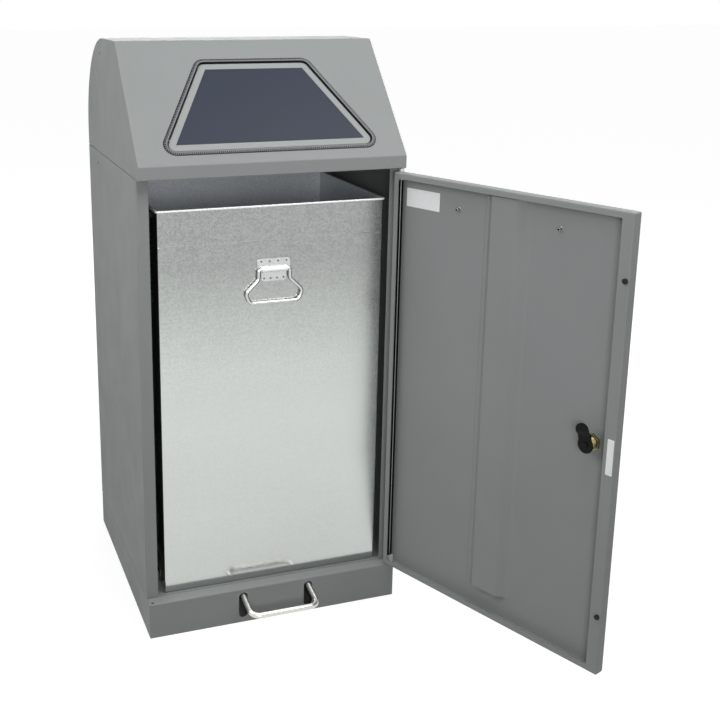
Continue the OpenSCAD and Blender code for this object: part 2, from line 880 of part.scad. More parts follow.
module handle_rivets() {
    rows = [[plate_w * 0.76, plate_up - 5], [barrel_len * 0.76, -plate_down + 5]];
    color(steel_grey) translate([cont_shift, 0, barrel_z]) for (row = rows, k = [-0.5, -1 / 6, 1 / 6, 0.5])
        translate([k * row.x, 0, row.y])
            bar_y(cont_y - plate_t - handle_rivet_h, cont_y - plate_t, plate_rivet_d / 2);
}

// The wire loop: a round bar between points, with a ball at each bend
module bail_handle() {
    ball_r = wire_r + 0.06;
    right = [
        [bail_side, 0], [bail_side, -bail_drop * 0.33], [bail_half, -bail_drop * 0.72],
        [bail_half - 10, -bail_drop * 0.95], [bail_side, -bail_drop],
    ];
    left = [for (k = [len(right) - 1:-1:0]) [-right[k].x, right[k].y]];
    path = concat(right, left);
    color(steel_grey) translate([cont_shift, barrel_y, barrel_z]) {
        for (k = [0:len(path) - 1]) {
            a = path[k];
            b = path[(k + 1) % len(path)];
            translate([a.x, 0, a.y]) {
                rotate([0, atan2(b.x - a.x, b.y - a.y), 0])
                    cylinder(r = wire_r, h = norm(b - a), $fn = 32);
                sphere(r = ball_r, $fn = 32);
            }
        }
    }
}

module container_guides() {
    foot = 7;
    front_end = cont_y + 40;
    color(zinc_grey) for (side = [-1, 1]) {
        wall = side < 0 ? cont_left - guide_gap : cont_right + guide_gap;
        box(
            [min(wall, wall + side * sheet), front_end, floor_top],
            [max(wall, wall + side * sheet), cont_back, floor_top + guide_h]
        );
        box(
            [min(wall, wall + side * foot), front_end, floor_top],
            [max(wall, wall + side * foot), cont_back, floor_top + sheet]
        );
    }
}

module container_stop() {
    foot = 15;
    stop_y = cont_back + guide_gap;
    half = cont_w * 0.38;
    color(zinc_grey) translate([cont_shift, 0, 0]) {
        box([-half, stop_y, floor_top], [half, stop_y + sheet, floor_top + guide_h]);
        box([-half, stop_y, floor_top], [half, stop_y + foot, floor_top + sheet]);
    }
}

module hinge_pin_lower() {
    color(steel_grey) translate([hinge_x, hinge_y, 0]) {
        translate([0, 0, plinth_h - sheet])
            cylinder(r = hinge_pin_r, h = sheet + door_low_gap + hinge_pin_len, $fn = round_fn);
        translate([0, 0, plinth_h - sheet - pin_head_h])
            cylinder(r = pin_head_r, h = pin_head_h, $fn = round_fn);
    }
}

module hinge_pin_upper() {
    color(steel_grey) translate([hinge_x, hinge_y, 0]) {
        translate([0, 0, door_high - hinge_pin_len])
            cylinder(r = hinge_pin_r, h = hinge_pin_len + door_top_gap + sheet, $fn = round_fn);
        translate([0, 0, seam_h + sheet]) cylinder(r = pin_head_r, h = pin_head_h, $fn = round_fn);
    }
}

module hinge_washers() {
    spans = [[plinth_h, door_low_gap - washer_gap], [door_high + washer_gap, door_top_gap - washer_gap]];
    color(nylon_white) for (s = spans)
        translate([hinge_x, hinge_y, s[0]]) ring(washer_r, hinge_pin_r + snug, s[1]);
}

module stile_studs() {
    color(body_grey) for (side = [-1, 1], z = buffer_zs)
        translate([side * -buffer_x, 0, z]) bar_y(opening_y - stud_h, opening_y, 3);
}

module door_pan() {
    color(body_grey) swing_door() difference() {
        box([-door_half, front, door_low], [door_half, rim_y, door_high]);
        box(
            [-door_half + sheet, front + sheet, door_low + sheet],
            [door_half - sheet, rim_y - sheet, door_high - sheet]
        );
        box(
            [-door_half + rim_free, rim_y - 2 * sheet, door_low + rim_end],
            [door_half - rim_hinge, rim_y + overcut, door_high - rim_end]
        );
        translate([lock_x, 0, lock_z]) bar_y(front - overcut, front + 2 * sheet, lock_r + snug);
        for (z = [door_low - overcut, door_high - sheet - overcut])
            translate([hinge_x, hinge_y, z])
                cylinder(r = hinge_pin_r + running, h = sheet + 2 * overcut, $fn = round_fn);
    }
}

module door_stiffener() {
    low = door_low + 42;
    high = door_high - rim_end - 2;
    lip = 10;
    color(body_grey) swing_door()
        translate([door_half - stiff_in, front + sheet, low]) linear_extrude(high - low) difference() {
            polygon([
                [-stiff_foot / 2 - lip, 0], [-stiff_foot / 2 - lip / 2, sheet], [-stiff_foot / 2, sheet],
                [-stiff_face / 2, stiff_h], [stiff_face / 2, stiff_h], [stiff_foot / 2, sheet],
                [stiff_foot / 2 + lip / 2, sheet], [stiff_foot / 2 + lip, 0],
            ]);
            polygon([
                [-stiff_foot / 2 + sheet, -overcut], [-stiff_foot / 2 + sheet, 0],
                [-stiff_face / 2 + sheet, stiff_h - sheet], [stiff_face / 2 - sheet, stiff_h - sheet],
                [stiff_foot / 2 - sheet, 0], [stiff_foot / 2 - sheet, -overcut],
            ]);
        }
}

// A black rubber strip that closes the fold of the hinge edge, with a bead along its face
module door_hinge_profile() {
    strip_x = door_half - 7;
    low = door_low + sheet + hinge_pin_len + 1;
    high = door_high - sheet - hinge_pin_len - 1;
    color(rubber_black) swing_door() {
        box([strip_x, front + sheet, low], [strip_x + 1.5, rim_y - sheet - seat, high]);
        translate([strip_x, front + 8, low]) cylinder(r = 1.3, h = high - low, $fn = round_fn);
    }
}

module door_studs() {
    color(steel_grey) swing_door() for (along = [0.285, 0.715])
        translate([door_half - along * 2 * door_half, 0, door_high - 46])
            bar_y(front + sheet, front + sheet + 6, 3);
}

module door_buffers() {
    color(rubber_black) swing_door() for (z = buffer_zs)
        translate([buffer_x, 0, z]) bar_y(rim_y, rim_y + buffer_len, 4);
}

// Two blank stickers, one on the skin and one on the rear flange beside the lock
module door_labels() {
    label_t = 0.3;
    color(label_white) swing_door() {
        translate([door_half - label_in - label_w, front + sheet, door_high - label_drop - label_h])
            cube([label_w, label_t, label_h]);
        translate([-door_half + (rim_free - strip_w) / 4, rim_y, lock_z - 0.63 * strip_h])
            cube([strip_w, label_t, strip_h]);
    }
}

module door_pivot_blocks() {
    bottom = [door_low + sheet, door_low + sheet + hinge_pin_len];
    top = [door_high - sheet - hinge_pin_len, door_high - sheet];
    color(nylon_white) swing_door() for (span = [bottom, top])
        difference() {
            box(
                [hinge_x - hinge_pin_r - block_wall, front + sheet, span[0]],
                [door_half - sheet, hinge_y + hinge_pin_r + block_wall, span[1]]
            );
            translate([hinge_x, hinge_y, span[0] - overcut])
                cylinder(r = hinge_pin_r + running, h = hinge_pin_len + 2 * overcut, $fn = round_fn);
        }
}

module lock_housing() {
    color(yellow_zinc) swing_door() translate([lock_x, 0, lock_z]) difference() {
        union() {
            bar_y(front - 2, front, lock_r + 2.5);
            bar_y(front, front + lock_body_len, lock_r);
        }
        bar_y(front - 3, front + door_t, plug_r + running);
    }
}

module lock_nut() {
    nut_t = 4.5;
    color(yellow_zinc) swing_door() translate([lock_x, front + sheet, lock_z]) difference() {
        translate([0, nut_t, 0]) rotate([90, 0, 0]) cylinder(r = lock_r + 4.5, h = nut_t, $fn = 6);
        bar_y(-overcut, nut_t + overcut, lock_r + snug);
    }
}

module lock_plug() {
    slot_t = 1.2;
    color(steel_grey) swing_door() translate([lock_x, 0, lock_z]) difference() {
        bar_y(front - 2.5, cam_y, plug_r);
        box([-slot_t / 2, front - 3, -plug_r * 0.6], [slot_t / 2, front + 2, plug_r * 0.6]);
    }
}

// The cam: flat at its hub, then stepped back so that its end hooks behind the stile
module lock_cam() {
    hub_r = 13;
    step = cam_hook_y - cam_y;
    color(rubber_black) swing_door() translate([lock_x, cam_y, lock_z])
        rotate([0, cam_lean, 0]) intersection() {
        along_x(3 * hub_r) polygon([
            [0, -hub_r - overcut], [cam_t, -hub_r - overcut], [cam_t, hub_r + 2],
            [step + cam_t, hub_r + 9], [step + cam_t, cam_len + overcut], [step, cam_len + overcut],
            [step, hub_r + 10], [0, hub_r + 3],
        ]);
        rotate([90, 0, 0]) translate([0, 0, -step - 2 * cam_t]) linear_extrude(step + 3 * cam_t) {
            circle(r = hub_r, $fn = round_fn);
            translate([-cam_w / 2, 0]) square([cam_w, cam_len - cam_w / 2]);
            translate([0, cam_len - cam_w / 2]) circle(r = cam_w / 2, $fn = round_fn);
        }
    }
}

module lock_screw() {
    color(rubber_black) swing_door() translate([lock_x, cam_y + cam_t + 2.4, lock_z])
        rotate([90, 0, 0]) cylinder(r = 5, h = 2.4, $fn = 6);
}

plinth();
base_plate();
cabinet_floor();
left_side_panel();
right_side_panel();
left_front_stile();
right_front_stile();
back_panel();
hood_shell();
hood_left_cheek();
hood_right_cheek();
left_splice_strip();
right_splice_strip();
hood_brace();
body_rivets();
opening_trim();
flap_bush_left();
flap_bush_right();
rod_guide_upper();
rod_guide_lower();
pedal_bracket_left();
pedal_bracket_right();
pedal_bushes();
pedal_stop();
container_guides();
container_stop();
hinge_pin_lower();
hinge_pin_upper();
hinge_washers();
stile_studs();
flap_panel();
flap_inlay();
flap_buffers();
flap_shaft();
flap_crank();
push_rod();
rod_top_pin();
rod_collar();
return_spring();
pedal_bar();
pedal_shaft();
pedal_lever();
lever_pin();
container_shell();
handle_plate();
handle_rivets();
bail_handle();
door_pan();
door_stiffener();
door_hinge_profile();
door_studs();
door_buffers();
door_labels();
door_pivot_blocks();
lock_housing();
lock_nut();
lock_plug();
lock_cam();
lock_screw();
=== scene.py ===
"""Looks, studio and camera of the pedal recycling bin, on the frame that the CAD model gives.

Lengths are metres in the row's frame: X to the right, the front faces -Y, Z up, and the origin
on the floor under the middle of the cabinet.
"""
import logging
import math
from dataclasses import dataclass, field
from enum import Enum
from typing import Callable, Mapping, Optional, Sequence, Union

import bmesh
import bpy
from mathutils import Matrix, Vector


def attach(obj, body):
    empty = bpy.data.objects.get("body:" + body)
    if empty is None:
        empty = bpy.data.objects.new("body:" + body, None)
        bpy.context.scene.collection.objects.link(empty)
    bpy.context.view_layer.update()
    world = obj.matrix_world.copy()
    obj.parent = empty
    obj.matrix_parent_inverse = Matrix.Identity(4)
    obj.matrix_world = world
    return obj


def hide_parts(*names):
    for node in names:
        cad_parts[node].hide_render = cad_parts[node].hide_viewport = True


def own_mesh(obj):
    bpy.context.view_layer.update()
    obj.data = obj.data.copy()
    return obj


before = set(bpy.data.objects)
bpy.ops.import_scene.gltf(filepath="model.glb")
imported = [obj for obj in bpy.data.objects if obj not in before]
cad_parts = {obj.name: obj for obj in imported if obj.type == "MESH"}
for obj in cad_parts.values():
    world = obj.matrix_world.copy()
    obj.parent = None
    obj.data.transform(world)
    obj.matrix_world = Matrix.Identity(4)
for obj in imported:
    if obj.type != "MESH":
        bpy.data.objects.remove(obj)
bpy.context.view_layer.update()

log = logging.getLogger("bin")

Pair = tuple[float, float]
Triple = tuple[float, float, float]
Piece = bpy.types.Object
Socket = bpy.types.NodeSocket

ACROSS, INWARD, UPWARD = Vector((1, 0, 0)), Vector((0, 1, 0)), Vector((0, 0, 1))


class Body(Enum):
    """The CAD bodies that pieces ride on."""

    CABINET = "cabinet"
    FLAP = "flap"
    PEDAL = "pedal"
    CONTAINER = "container"
    BAIL = "bail"
    DOOR = "door"
    LOCK = "lock_rotor"


class Slot(Enum):
    """The record's material slots that pieces belong to."""

    BODY_PAINT = "body_paint"
    FLAP_PAINT = "flap_paint"
    GALVANISED = "galvanised"
    STAINLESS = "stainless"
    STEEL = "steel"
    RUBBER_AND_PAINTED_SHADE = "rubber"
    YELLOW_ZINC = "yellow_zinc"
    BLACK_STEEL = "black_steel"


class Nodes:
    """A node tree, with short ways to add and join nodes."""

    def __init__(self, tree: bpy.types.NodeTree) -> None:
        """Empties a tree.

        Args:
            tree: The tree to fill.
        """
        self.tree = tree
        self.tree.nodes.clear()

    def add(self, kind: str, out: Union[str, int], inputs: Mapping[Union[str, int], object],
            **settings: str) -> Socket:
        """Adds a node.

        Args:
            kind: Its type, without ShaderNode in front.
            out: The output that is wanted.
            inputs: Values or sockets for its inputs, by name or number.
            settings: Settings of the node, such as its operation.

        Returns:
            The output's socket.
        """
        node = self.tree.nodes.new(f"ShaderNode{kind}")
        for name, choice in settings.items():
            setattr(node, name, choice)
        for key, value in inputs.items():
            if isinstance(value, Socket):
                self.tree.links.new(value, node.inputs[key])
            else:
                node.inputs[key].default_value = value
        return node.outputs[out]

    def math(self, operation: str, *values: object) -> Socket:
        """A calculation with numbers and sockets."""
        return self.add("Math", "Value", dict(enumerate(values)), operation=operation)

    def close(self, kind: str, shader: Socket) -> None:
        """Joins a shader to the tree's output, which is a Material or a World."""
        self.tree.links.new(shader,
                            self.tree.nodes.new(f"ShaderNodeOutput{kind}").inputs["Surface"])


class Shades(Nodes):
    """A material's nodes, with the patterns that the finishes are mixed from."""

    def __init__(self, name: str) -> None:
        """Starts an empty material.

        Args:
            name: The material's name.
        """
        self.material = bpy.data.materials.new(name)
        self.material.use_nodes = True
        super().__init__(self.material.node_tree)
        self.place = self.add("TexCoord", "Object", {})

    def stretched(self, *scale: float) -> Socket:
        """The object's coordinates, scaled along X, Y and Z."""
        return self.add("Mapping", "Vector", {"Scale": scale, "Vector": self.place})

    def noise(self, scale: float, detail: float = 3.0, soft: float = 0.5,
              at: Optional[Socket] = None) -> Socket:
        """Noise over the surface.

        Args:
            scale: Features per metre.
            detail: Octaves of noise.
            soft: Share of the finer octaves.
            at: Coordinates, or none for the object's own.

        Returns:
            The noise's value socket.
        """
        return self.add("TexNoise", "Fac", {"Scale": scale, "Detail": detail, "Roughness": soft,
                                            "Vector": at or self.place})

    def cells(self, scale: float) -> Socket:
        """Crystal cells, each with a tone of its own.

        Args:
            scale: Cells per metre.

        Returns:
            The cells' tone as a value from 0 to 1.
        """
        tone = self.add("TexVoronoi", "Color",
                        {"Scale": scale, "Smoothness": 0.35, "Vector": self.place},
                        feature="SMOOTH_F1")
        return self.add("SeparateColor", "Red", {"Color": tone})

    def height(self) -> Socket:
        """The height above the floor at rest."""
        return self.add("SeparateXYZ", "Z", {"Vector": self.place})

    def spread(self, value: Socket, low: Pair, high: Pair) -> Socket:
        """Maps a value's range to another one, clamped.

        Args:
            value: The value's socket.
            low: The value at one end, and what it becomes.
            high: The value at the other end, and what it becomes.

        Returns:
            The mapped value's socket.
        """
        return self.add("MapRange", "Result",
                        {"Value": value, "From Min": low[0], "From Max": high[0],
                         "To Min": low[1], "To Max": high[1]})

    def ramp(self, value: Socket, stops: Sequence[tuple[float, Triple]]) -> Socket:
        """Colours a value.

        Args:
            value: The value's socket.
            stops: Positions from 0 to 1 with their colours.

        Returns:
            The colour's socket.
        """
        colour = self.add("ValToRGB", "Color", {"Fac": value})
        band = colour.node.color_ramp
        while len(band.elements) < len(stops):
            band.elements.new(1.0)
        for element, (position, shade) in zip(band.elements, stops):
            element.position = position
            element.color = (*shade, 1.0)
        return colour

    def scaled(self, colour: Triple, factor: Socket) -> Socket:
        """A colour made lighter or darker by a value."""
        return self.add("VectorMath", "Vector", {0: colour, "Scale": factor}, operation="SCALE")

    def tinted(self, value: Socket, colour: Triple, low: Pair, high: Pair) -> Socket:
        """A colour that a pattern makes lighter and darker.

        Args:
            value: The pattern's value.
            colour: The colour at a factor of 1.
            low: The value at one end, and the colour's factor there.
            high: The value at the other end, and the colour's factor there.

        Returns:
            The colour's socket.
        """
        return self.scaled(colour, self.spread(value, low, high))

    def sum(self, first: Socket, second: Socket, share: float) -> Socket:
        """Adds a share of the second value to the first."""
        return self.math("MULTIPLY_ADD", second, share, first)

    def blend(self, share: Socket, low: Socket, high: Socket) -> Socket:
        """Blends two values, with all of the second one at a share of 1."""
        return self.add("Mix", 0, {0: share, 2: low, 3: high}, data_type="FLOAT")

    def relief(self, value: Socket, depth: float, under: Optional[Socket] = None) -> Socket:
        """A bump from a height value.

        Args:
            value: The height from 0 to 1.
            depth: The height of 1 in metres.
            under: A normal that this one lies on.

        Returns:
            The normal's socket.
        """
        base = {} if under is None else {"Normal": under}
        return self.add("Bump", "Normal", {"Distance": depth, "Height": value, **base})

    def surface(self, colour: Socket, roughness: Socket, normal: Socket, metallic: float = 0.0,
                specular: float = 0.5) -> None:
        """Adds the shader and joins it to the output.

        Args:
            colour: The base colour.
            roughness: The roughness.
            normal: The normal with its relief.
            metallic: 1 for bare metal.
            specular: Specular level.
        """
        self.close("Material", self.add("BsdfPrincipled", "BSDF", {
            "Base Color": colour, "Roughness": roughness, "Normal": normal, "Metallic": metallic,
            "Specular IOR Level": specular}))


class Finish:
    """A surface finish, made once as a material and shared by its pieces."""

    made: dict[str, bpy.types.Material] = {}
    title: str

    def material(self) -> bpy.types.Material:
        """The finish's material, made at its first use."""
        if self.title not in Finish.made:
            shades = Shades(self.title)
            self.paint(shades)
            Finish.made[self.title] = shades.material
        return Finish.made[self.title]

    def paint(self, shades: Shades) -> None:
        """Adds the finish's nodes to a material."""
        raise NotImplementedError


@dataclass(frozen=True)
class PowderCoat(Finish):
    """Baked powder paint: a fine orange peel under a soft gloss, with faint clouds in its tone."""

    title: str
    colour: Triple
    roughness: float = 0.55
    peel: float = 520.0
    peel_depth: float = 0.00005

    def paint(self, shades: Shades) -> None:
        """Mixes clouds, peel and a fine sparkle of the powder."""
        powder = shades.noise(2600.0, 2.0, 0.6)
        tone = shades.sum(shades.noise(5.0, 4.0, 0.55), powder, 0.35)
        gloss = shades.spread(shades.noise(18.0), (0.3, self.roughness - 0.04),
                              (0.7, self.roughness + 0.05))
        peel = shades.relief(shades.noise(self.peel, 2.0, 0.45), self.peel_depth)
        shades.surface(shades.tinted(tone, self.colour, (0.40, 0.955), (0.95, 1.045)), gloss,
                       shades.relief(powder, self.peel_depth * 0.25, peel), specular=0.20)


@dataclass(frozen=True)
class Galvanised(Finish):
    """Rolled zinc-coated sheet: fine crossed brushing, small spangle, and painted shade in bands by
    height.

    Between the two heights of calm the grain fades out downwards, to the share quiet.
    """

    title: str = "galvanised_sheet"
    colour: Triple = (0.585, 0.612, 0.595)
    spangle: float = 420.0
    brushing: Pair = (420.0, 22.0)
    roughness: float = 0.24
    depth: float = 0.000004
    span: Pair = (1.2, 2.1)
    contrast: float = 0.075
    calm: Optional[Pair] = None
    quiet: float = 0.14
    metallic: float = 1.0
    painted_shade_zones: tuple[Pair, ...] = ()
    top_z: float = 0.745
    seam_z: Optional[float] = None
    seam_edge: Pair = (0.0003, 0.0012)
    seam_depth: float = 0.00014

    def around(self, shades: Shades, tone: Socket, middle: float, swing: float) -> Socket:
        """A value that follows the grain's tone.

        Args:
            shades: The material to fill.
            tone: The grain's tone.
            middle: The value's middle.
            swing: How far it goes to either side.

        Returns:
            The value's socket.
        """
        return shades.spread(tone, (self.span[0], middle - swing), (self.span[1], middle + swing))

    def paint(self, shades: Shades) -> None:
        """Mixes brushing, spangle, painted shade by height and a pressed line."""
        cells = shades.cells(self.spangle)
        fine, cloud = shades.noise(900.0, 3.0, 0.6), shades.noise(9.0)
        close, wide = self.brushing
        upright = shades.noise(1.0, 2.0, 0.5, shades.stretched(close, close, wide))
        level = shades.noise(1.0, 2.0, 0.5, shades.stretched(wide, wide, close))
        weave = shades.sum(upright, level, 1.0)
        tone = shades.sum(shades.sum(shades.sum(cells, fine, 0.9), weave, 0.6), cloud, 0.25)
        grain = self.around(shades, tone, 1.0, self.contrast)
        if self.calm is not None:
            rise = shades.spread(shades.height(), (self.calm[0], 0.0), (self.calm[1], 1.0))
            grain = shades.blend(rise,
                                 self.around(shades, tone, 1.0, self.quiet * self.contrast), grain)
        colour = shades.scaled(self.colour, grain)
        # Painted shade: the colour is darkened band by band with height.
        if self.painted_shade_zones:
            height = shades.spread(shades.height(), (0.0, 0.0), (self.top_z, 1.0))
            painted_shade = shades.ramp(height, [(place, (grey, grey, grey)) for place, grey in self.painted_shade_zones])
            colour = shades.add("VectorMath", "Vector", {0: colour, 1: painted_shade}, operation="MULTIPLY")
        normal = shades.relief(weave, self.depth, shades.relief(cells, self.depth))
        if self.seam_z is not None:
            apart = shades.math("ABSOLUTE", shades.math("SUBTRACT", shades.height(), self.seam_z))
            line = shades.spread(apart, (self.seam_edge[0], 0.0), (self.seam_edge[1], 1.0))
            normal = shades.relief(line, self.seam_depth, normal)
        shades.surface(colour, self.around(shades, tone, self.roughness, 0.015), normal,
                       metallic=self.metallic)


@dataclass(frozen=True)
class BareMetal(Finish):
    """Drawn or turned metal with fine lines along its length."""

    title: str
    colour: Triple
    roughness: float
    lines: Triple = (40.0, 900.0, 900.0)
    depth: float = 0.00002

    def paint(self, shades: Shades) -> None:
        """Mixes drawing lines and soft stains."""
        drawn = shades.noise(1.0, 3.0, 0.6, shades.stretched(*self.lines))
        tone = shades.sum(drawn, shades.noise(45.0, 4.0, 0.6), 0.6)
        shades.surface(shades.tinted(tone, self.colour, (0.5, 0.86), (1.15, 1.05)),
                       shades.spread(tone, (0.5, self.roughness + 0.06),
                                     (1.1, self.roughness - 0.04)),
                       shades.relief(drawn, self.depth), metallic=1.0)


@dataclass(frozen=True)
class Moulded(Finish):
    """Rubber or plastic from a mould, with a fine skin and a soft bloom."""

    title: str
    colour: Triple
    roughness: float
    bloom: float = 0.12
    grain: float = 900.0
    depth: float = 0.00004
    specular: float = 0.4

    def paint(self, shades: Shades) -> None:
        """Mixes bloom and grain."""
        grain = shades.noise(self.grain, 3.0, 0.55)
        tone = shades.sum(shades.noise(30.0, 4.0, 0.6), grain, 0.4)
        shades.surface(shades.tinted(tone, self.colour, (0.45, 1.0 - self.bloom),
                                     (0.95, 1.0 + self.bloom)),
                       shades.spread(tone, (0.4, self.roughness - 0.06),
                                     (1.0, self.roughness + 0.06)),
                       shades.relief(grain, self.depth), specular=self.specular)


@dataclass(frozen=True)
class Laminate(Finish):
    """The flap's dark inlay: a satin printed laminate with a very fine grain."""

    title: str = "inlay_laminate"
    colour: Triple = (0.020, 0.026, 0.043)
    roughness: float = 0.45

    def paint(self, shades: Shades) -> None:
        """Mixes a fine grain and a faint drift of tone."""
        drift, grain = shades.noise(6.0, 2.0, 0.4), shades.noise(1500.0, 2.0, 0.5)
        shades.surface(shades.tinted(shades.sum(drift, grain, 0.3), self.colour, (0.35, 0.93),
                                     (0.95, 1.08)),
                       shades.spread(drift, (0.3, self.roughness - 0.03),
                                     (0.7, self.roughness + 0.04)),
                       shades.relief(grain, 0.00001), specular=0.22)


@dataclass(frozen=True)
class BlankSticker(Finish):
    """A blank vinyl sticker with a faint paper grain."""

    title: str = "blank_sticker"
    colour: Triple = (0.83, 0.85, 0.85)

    def paint(self, shades: Shades) -> None:
        """Mixes paper grain and slight yellowing."""
        grain = shades.noise(380.0, 5.0, 0.6)
        shades.surface(shades.tinted(grain, self.colour, (0.3, 0.94), (0.7, 1.03)),
                       shades.spread(grain, (0.3, 0.42), (0.7, 0.52)),
                       shades.relief(grain, 0.00002), specular=0.4)


@dataclass(frozen=True)
class Chromated(Finish):
    """Yellow-chromated zinc, whose tint drifts from straw to green and rose."""

    title: str = "yellow_chromated_zinc"
    tints: tuple[tuple[float, Triple], ...] = (
        (0.30, (0.21, 0.20, 0.09)), (0.46, (0.27, 0.24, 0.11)),
        (0.58, (0.25, 0.20, 0.12)), (0.72, (0.19, 0.21, 0.11)),
    )

    def paint(self, shades: Shades) -> None:
        """Mixes the drifting tints."""
        drift = shades.noise(160.0, 3.0, 0.55)
        shades.surface(shades.ramp(drift, self.tints),
                       shades.spread(drift, (0.3, 0.26), (0.7, 0.36)),
                       shades.relief(shades.noise(900.0), 0.00002), metallic=1.0)


BODY_PAINT = PowderCoat("grey_powder_coat", (0.250, 0.262, 0.260))
# Painted shade: the rivet heads really share the body's paint; this darker colour stands for the
# shading round them.
RIVET_PAINTED_SHADE = PowderCoat("rivet_painted_shade", (0.085, 0.090, 0.090), roughness=0.42)
FLAP_PAINT = PowderCoat("light_powder_coat", (0.292, 0.312, 0.305), roughness=0.46)
ZINC_SHEET = Galvanised()
# Painted shade on the container's front: darker towards its top and a little towards its bottom.
CONTAINER_PAINTED_SHADE = ((0.09, 0.82), (0.27, 0.90), (0.48, 0.92), (0.62, 0.87), (0.75, 0.73),
                   (0.86, 0.61), (0.97, 0.62))
ZINC_FRONT = Galvanised("galvanised_container", roughness=0.14, contrast=0.15, calm=(0.40, 0.72),
                        painted_shade_zones=CONTAINER_PAINTED_SHADE, seam_z=0.681)
# Painted light: a lighter, bluer, rougher copy of the zinc on the container's inner walls, for
# light that gets inside.
ZINC_INSIDE_PAINTED_LIGHT = Galvanised("galvanised_inside_painted_light", (0.74, 0.78, 0.82), roughness=0.50, metallic=0.45)
# Painted highlight: a much lighter, less metallic copy of the zinc on the rolled hem and the
# handle's rolls, for the light they catch.
ZINC_PAINTED_HIGHLIGHT = Galvanised("hem_painted_highlight", (0.90, 0.91, 0.91), roughness=0.26, contrast=0.03,
                      metallic=0.30)
ZINC_PLATE = Galvanised("galvanised_plate", (0.56, 0.58, 0.57), roughness=0.30)
STAINLESS = BareMetal("stainless_bar", (0.66, 0.64, 0.61), 0.26)
BRIGHT_ZINC = BareMetal("bright_zinc_wire", (0.60, 0.61, 0.60), 0.22, (300.0, 300.0, 300.0))
STEEL = BareMetal("zinc_plated_steel", (0.55, 0.56, 0.56), 0.34, (500.0, 500.0, 90.0))
STUD_STEEL = BareMetal("dull_stud_steel", (0.30, 0.31, 0.31), 0.36, (500.0, 500.0, 500.0))
# Black rubber; on the edge trim it also paints the grooves, inner wall and back black as shade.
RUBBER_AND_PAINTED_SHADE = Moulded("black_rubber_and_painted_shade", (0.010, 0.010, 0.011), 0.55, specular=0.20)
TRIM_RUBBER = Moulded("edge_trim_rubber", (0.150, 0.158, 0.168), 0.50, grain=1400.0)
# Black steel of the cam and screw; on the door's studs it is painted shade in their hollows.
BLACK_STEEL_AND_HOLLOW_SHADE = Moulded("black_cam_steel_and_hollow_shade", (0.0025, 0.0025, 0.0028), 0.45, specular=0.12)
# Black of the hinge-fold strip, partly standing in for the shade in that fold.
SEAL_BLACK_AND_FOLD_SHADE = Moulded("black_seal_rubber_and_fold_shade", (0.0015, 0.0017, 0.0015), 0.50, specular=0.08)
# Painted highlight: a lighter metal colour along the strip's bead, standing in for a highlight
# line.
SEAL_PAINTED_HIGHLIGHT = BareMetal("seal_bead_painted_highlight", (0.36, 0.37, 0.37), 0.30, (300.0, 300.0, 40.0))
NYLON = Moulded("white_nylon", (0.62, 0.61, 0.57), 0.40, bloom=0.05, grain=500.0)
STICKER = BlankSticker()
CHROMATED = Chromated()
INLAY = Laminate()
WELD_DARK = BareMetal("dark_weld_dimple", (0.13, 0.13, 0.13), 0.45, (700.0, 700.0, 700.0))

SHEET = 0.0015
FACE_Y = -0.230
SEAM_Z = 0.793
LOCK_AT: Pair = (-0.178, 0.431)
DOOR_PIVOT: Pair = (0.221, -0.225)
PIVOT_HOLE = 0.00252
THROUGH = 0.01
FOLD_EDGE = 0.0003
LEAST_RADIUS = 0.0004
SHARP_ANGLE = math.radians(35)
LEFT_AND_RIGHT = (-1, 1)


def from_work(name: str, work: bmesh.types.BMesh) -> Piece:
    """Turns edited geometry into a piece of the scene.

    Args:
        name: The piece's name.
        work: The geometry in the row's frame, which is used up.

    Returns:
        The piece.
    """
    mesh = bpy.data.meshes.new(name)
    work.to_mesh(mesh)
    work.free()
    piece = bpy.data.objects.new(name, mesh)
    bpy.context.scene.collection.objects.link(piece)
    return piece


def modify(piece: Piece, name: str, kind: str, **settings: object) -> None:
    """Adds a modifier to a piece.

    Args:
        piece: The piece.
        name: The modifier's name.
        kind: Its type.
        settings: Its settings.
    """
    step = piece.modifiers.new(name, kind)
    for setting, value in settings.items():
        setattr(step, setting, value)


def soften(piece: Piece, width: float) -> None:
    """Rounds a piece's sharp edges, over some width."""
    modify(piece, "edge", "BEVEL", width=width, segments=2, limit_method="ANGLE",
           angle_limit=SHARP_ANGLE)


def settle(piece: Piece, body: Body, slot: Slot, finish: Finish, *nodes: str,
           angle: float = 35.0) -> None:
    """Gives a new piece its finish, its body and the CAD nodes it stands for.

    Args:
        piece: The piece, in place.
        body: The CAD body that it rides on.
        slot: The record's slot that its finish belongs to; not used.
        finish: Its finish.
        nodes: CAD nodes that it replaces.
        angle: Edges sharper than this stay sharp, in degrees.
    """
    if not piece.data.materials:
        piece.data.materials.append(finish.material())
    piece.data.shade_smooth()
    piece.data.set_sharp_from_angle(angle=math.radians(angle))
    modify(piece, "flat_faces", "WEIGHTED_NORMAL", keep_sharp=True, weight=100)
    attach(piece, body.value)
    if nodes:
        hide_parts(*nodes)
    log.info("piece %s rides on %s, %d faces", piece.name, body.value, len(piece.data.polygons))


def dress(finish: Finish, *nodes: str, edge: float = 0.0) -> None:
    """Gives CAD nodes a finish, and rounds their edges where that is asked.

    Args:
        finish: The finish.
        nodes: The CAD nodes' names.
        edge: Width of the rounding on sharp edges, or 0.
    """
    for name in nodes:
        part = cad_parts[name]
        part.data.materials.clear()
        part.data.materials.append(finish.material())
        for face in part.data.polygons:
            face.use_smooth = True
            face.material_index = 0
        modify(part, "weld", "WELD", merge_threshold=1e-6)
        if edge:
            soften(part, edge)
        modify(part, "flat_faces", "WEIGHTED_NORMAL", weight=100, keep_sharp=False)
        log.info("node %s dressed in %s", name, finish.title)


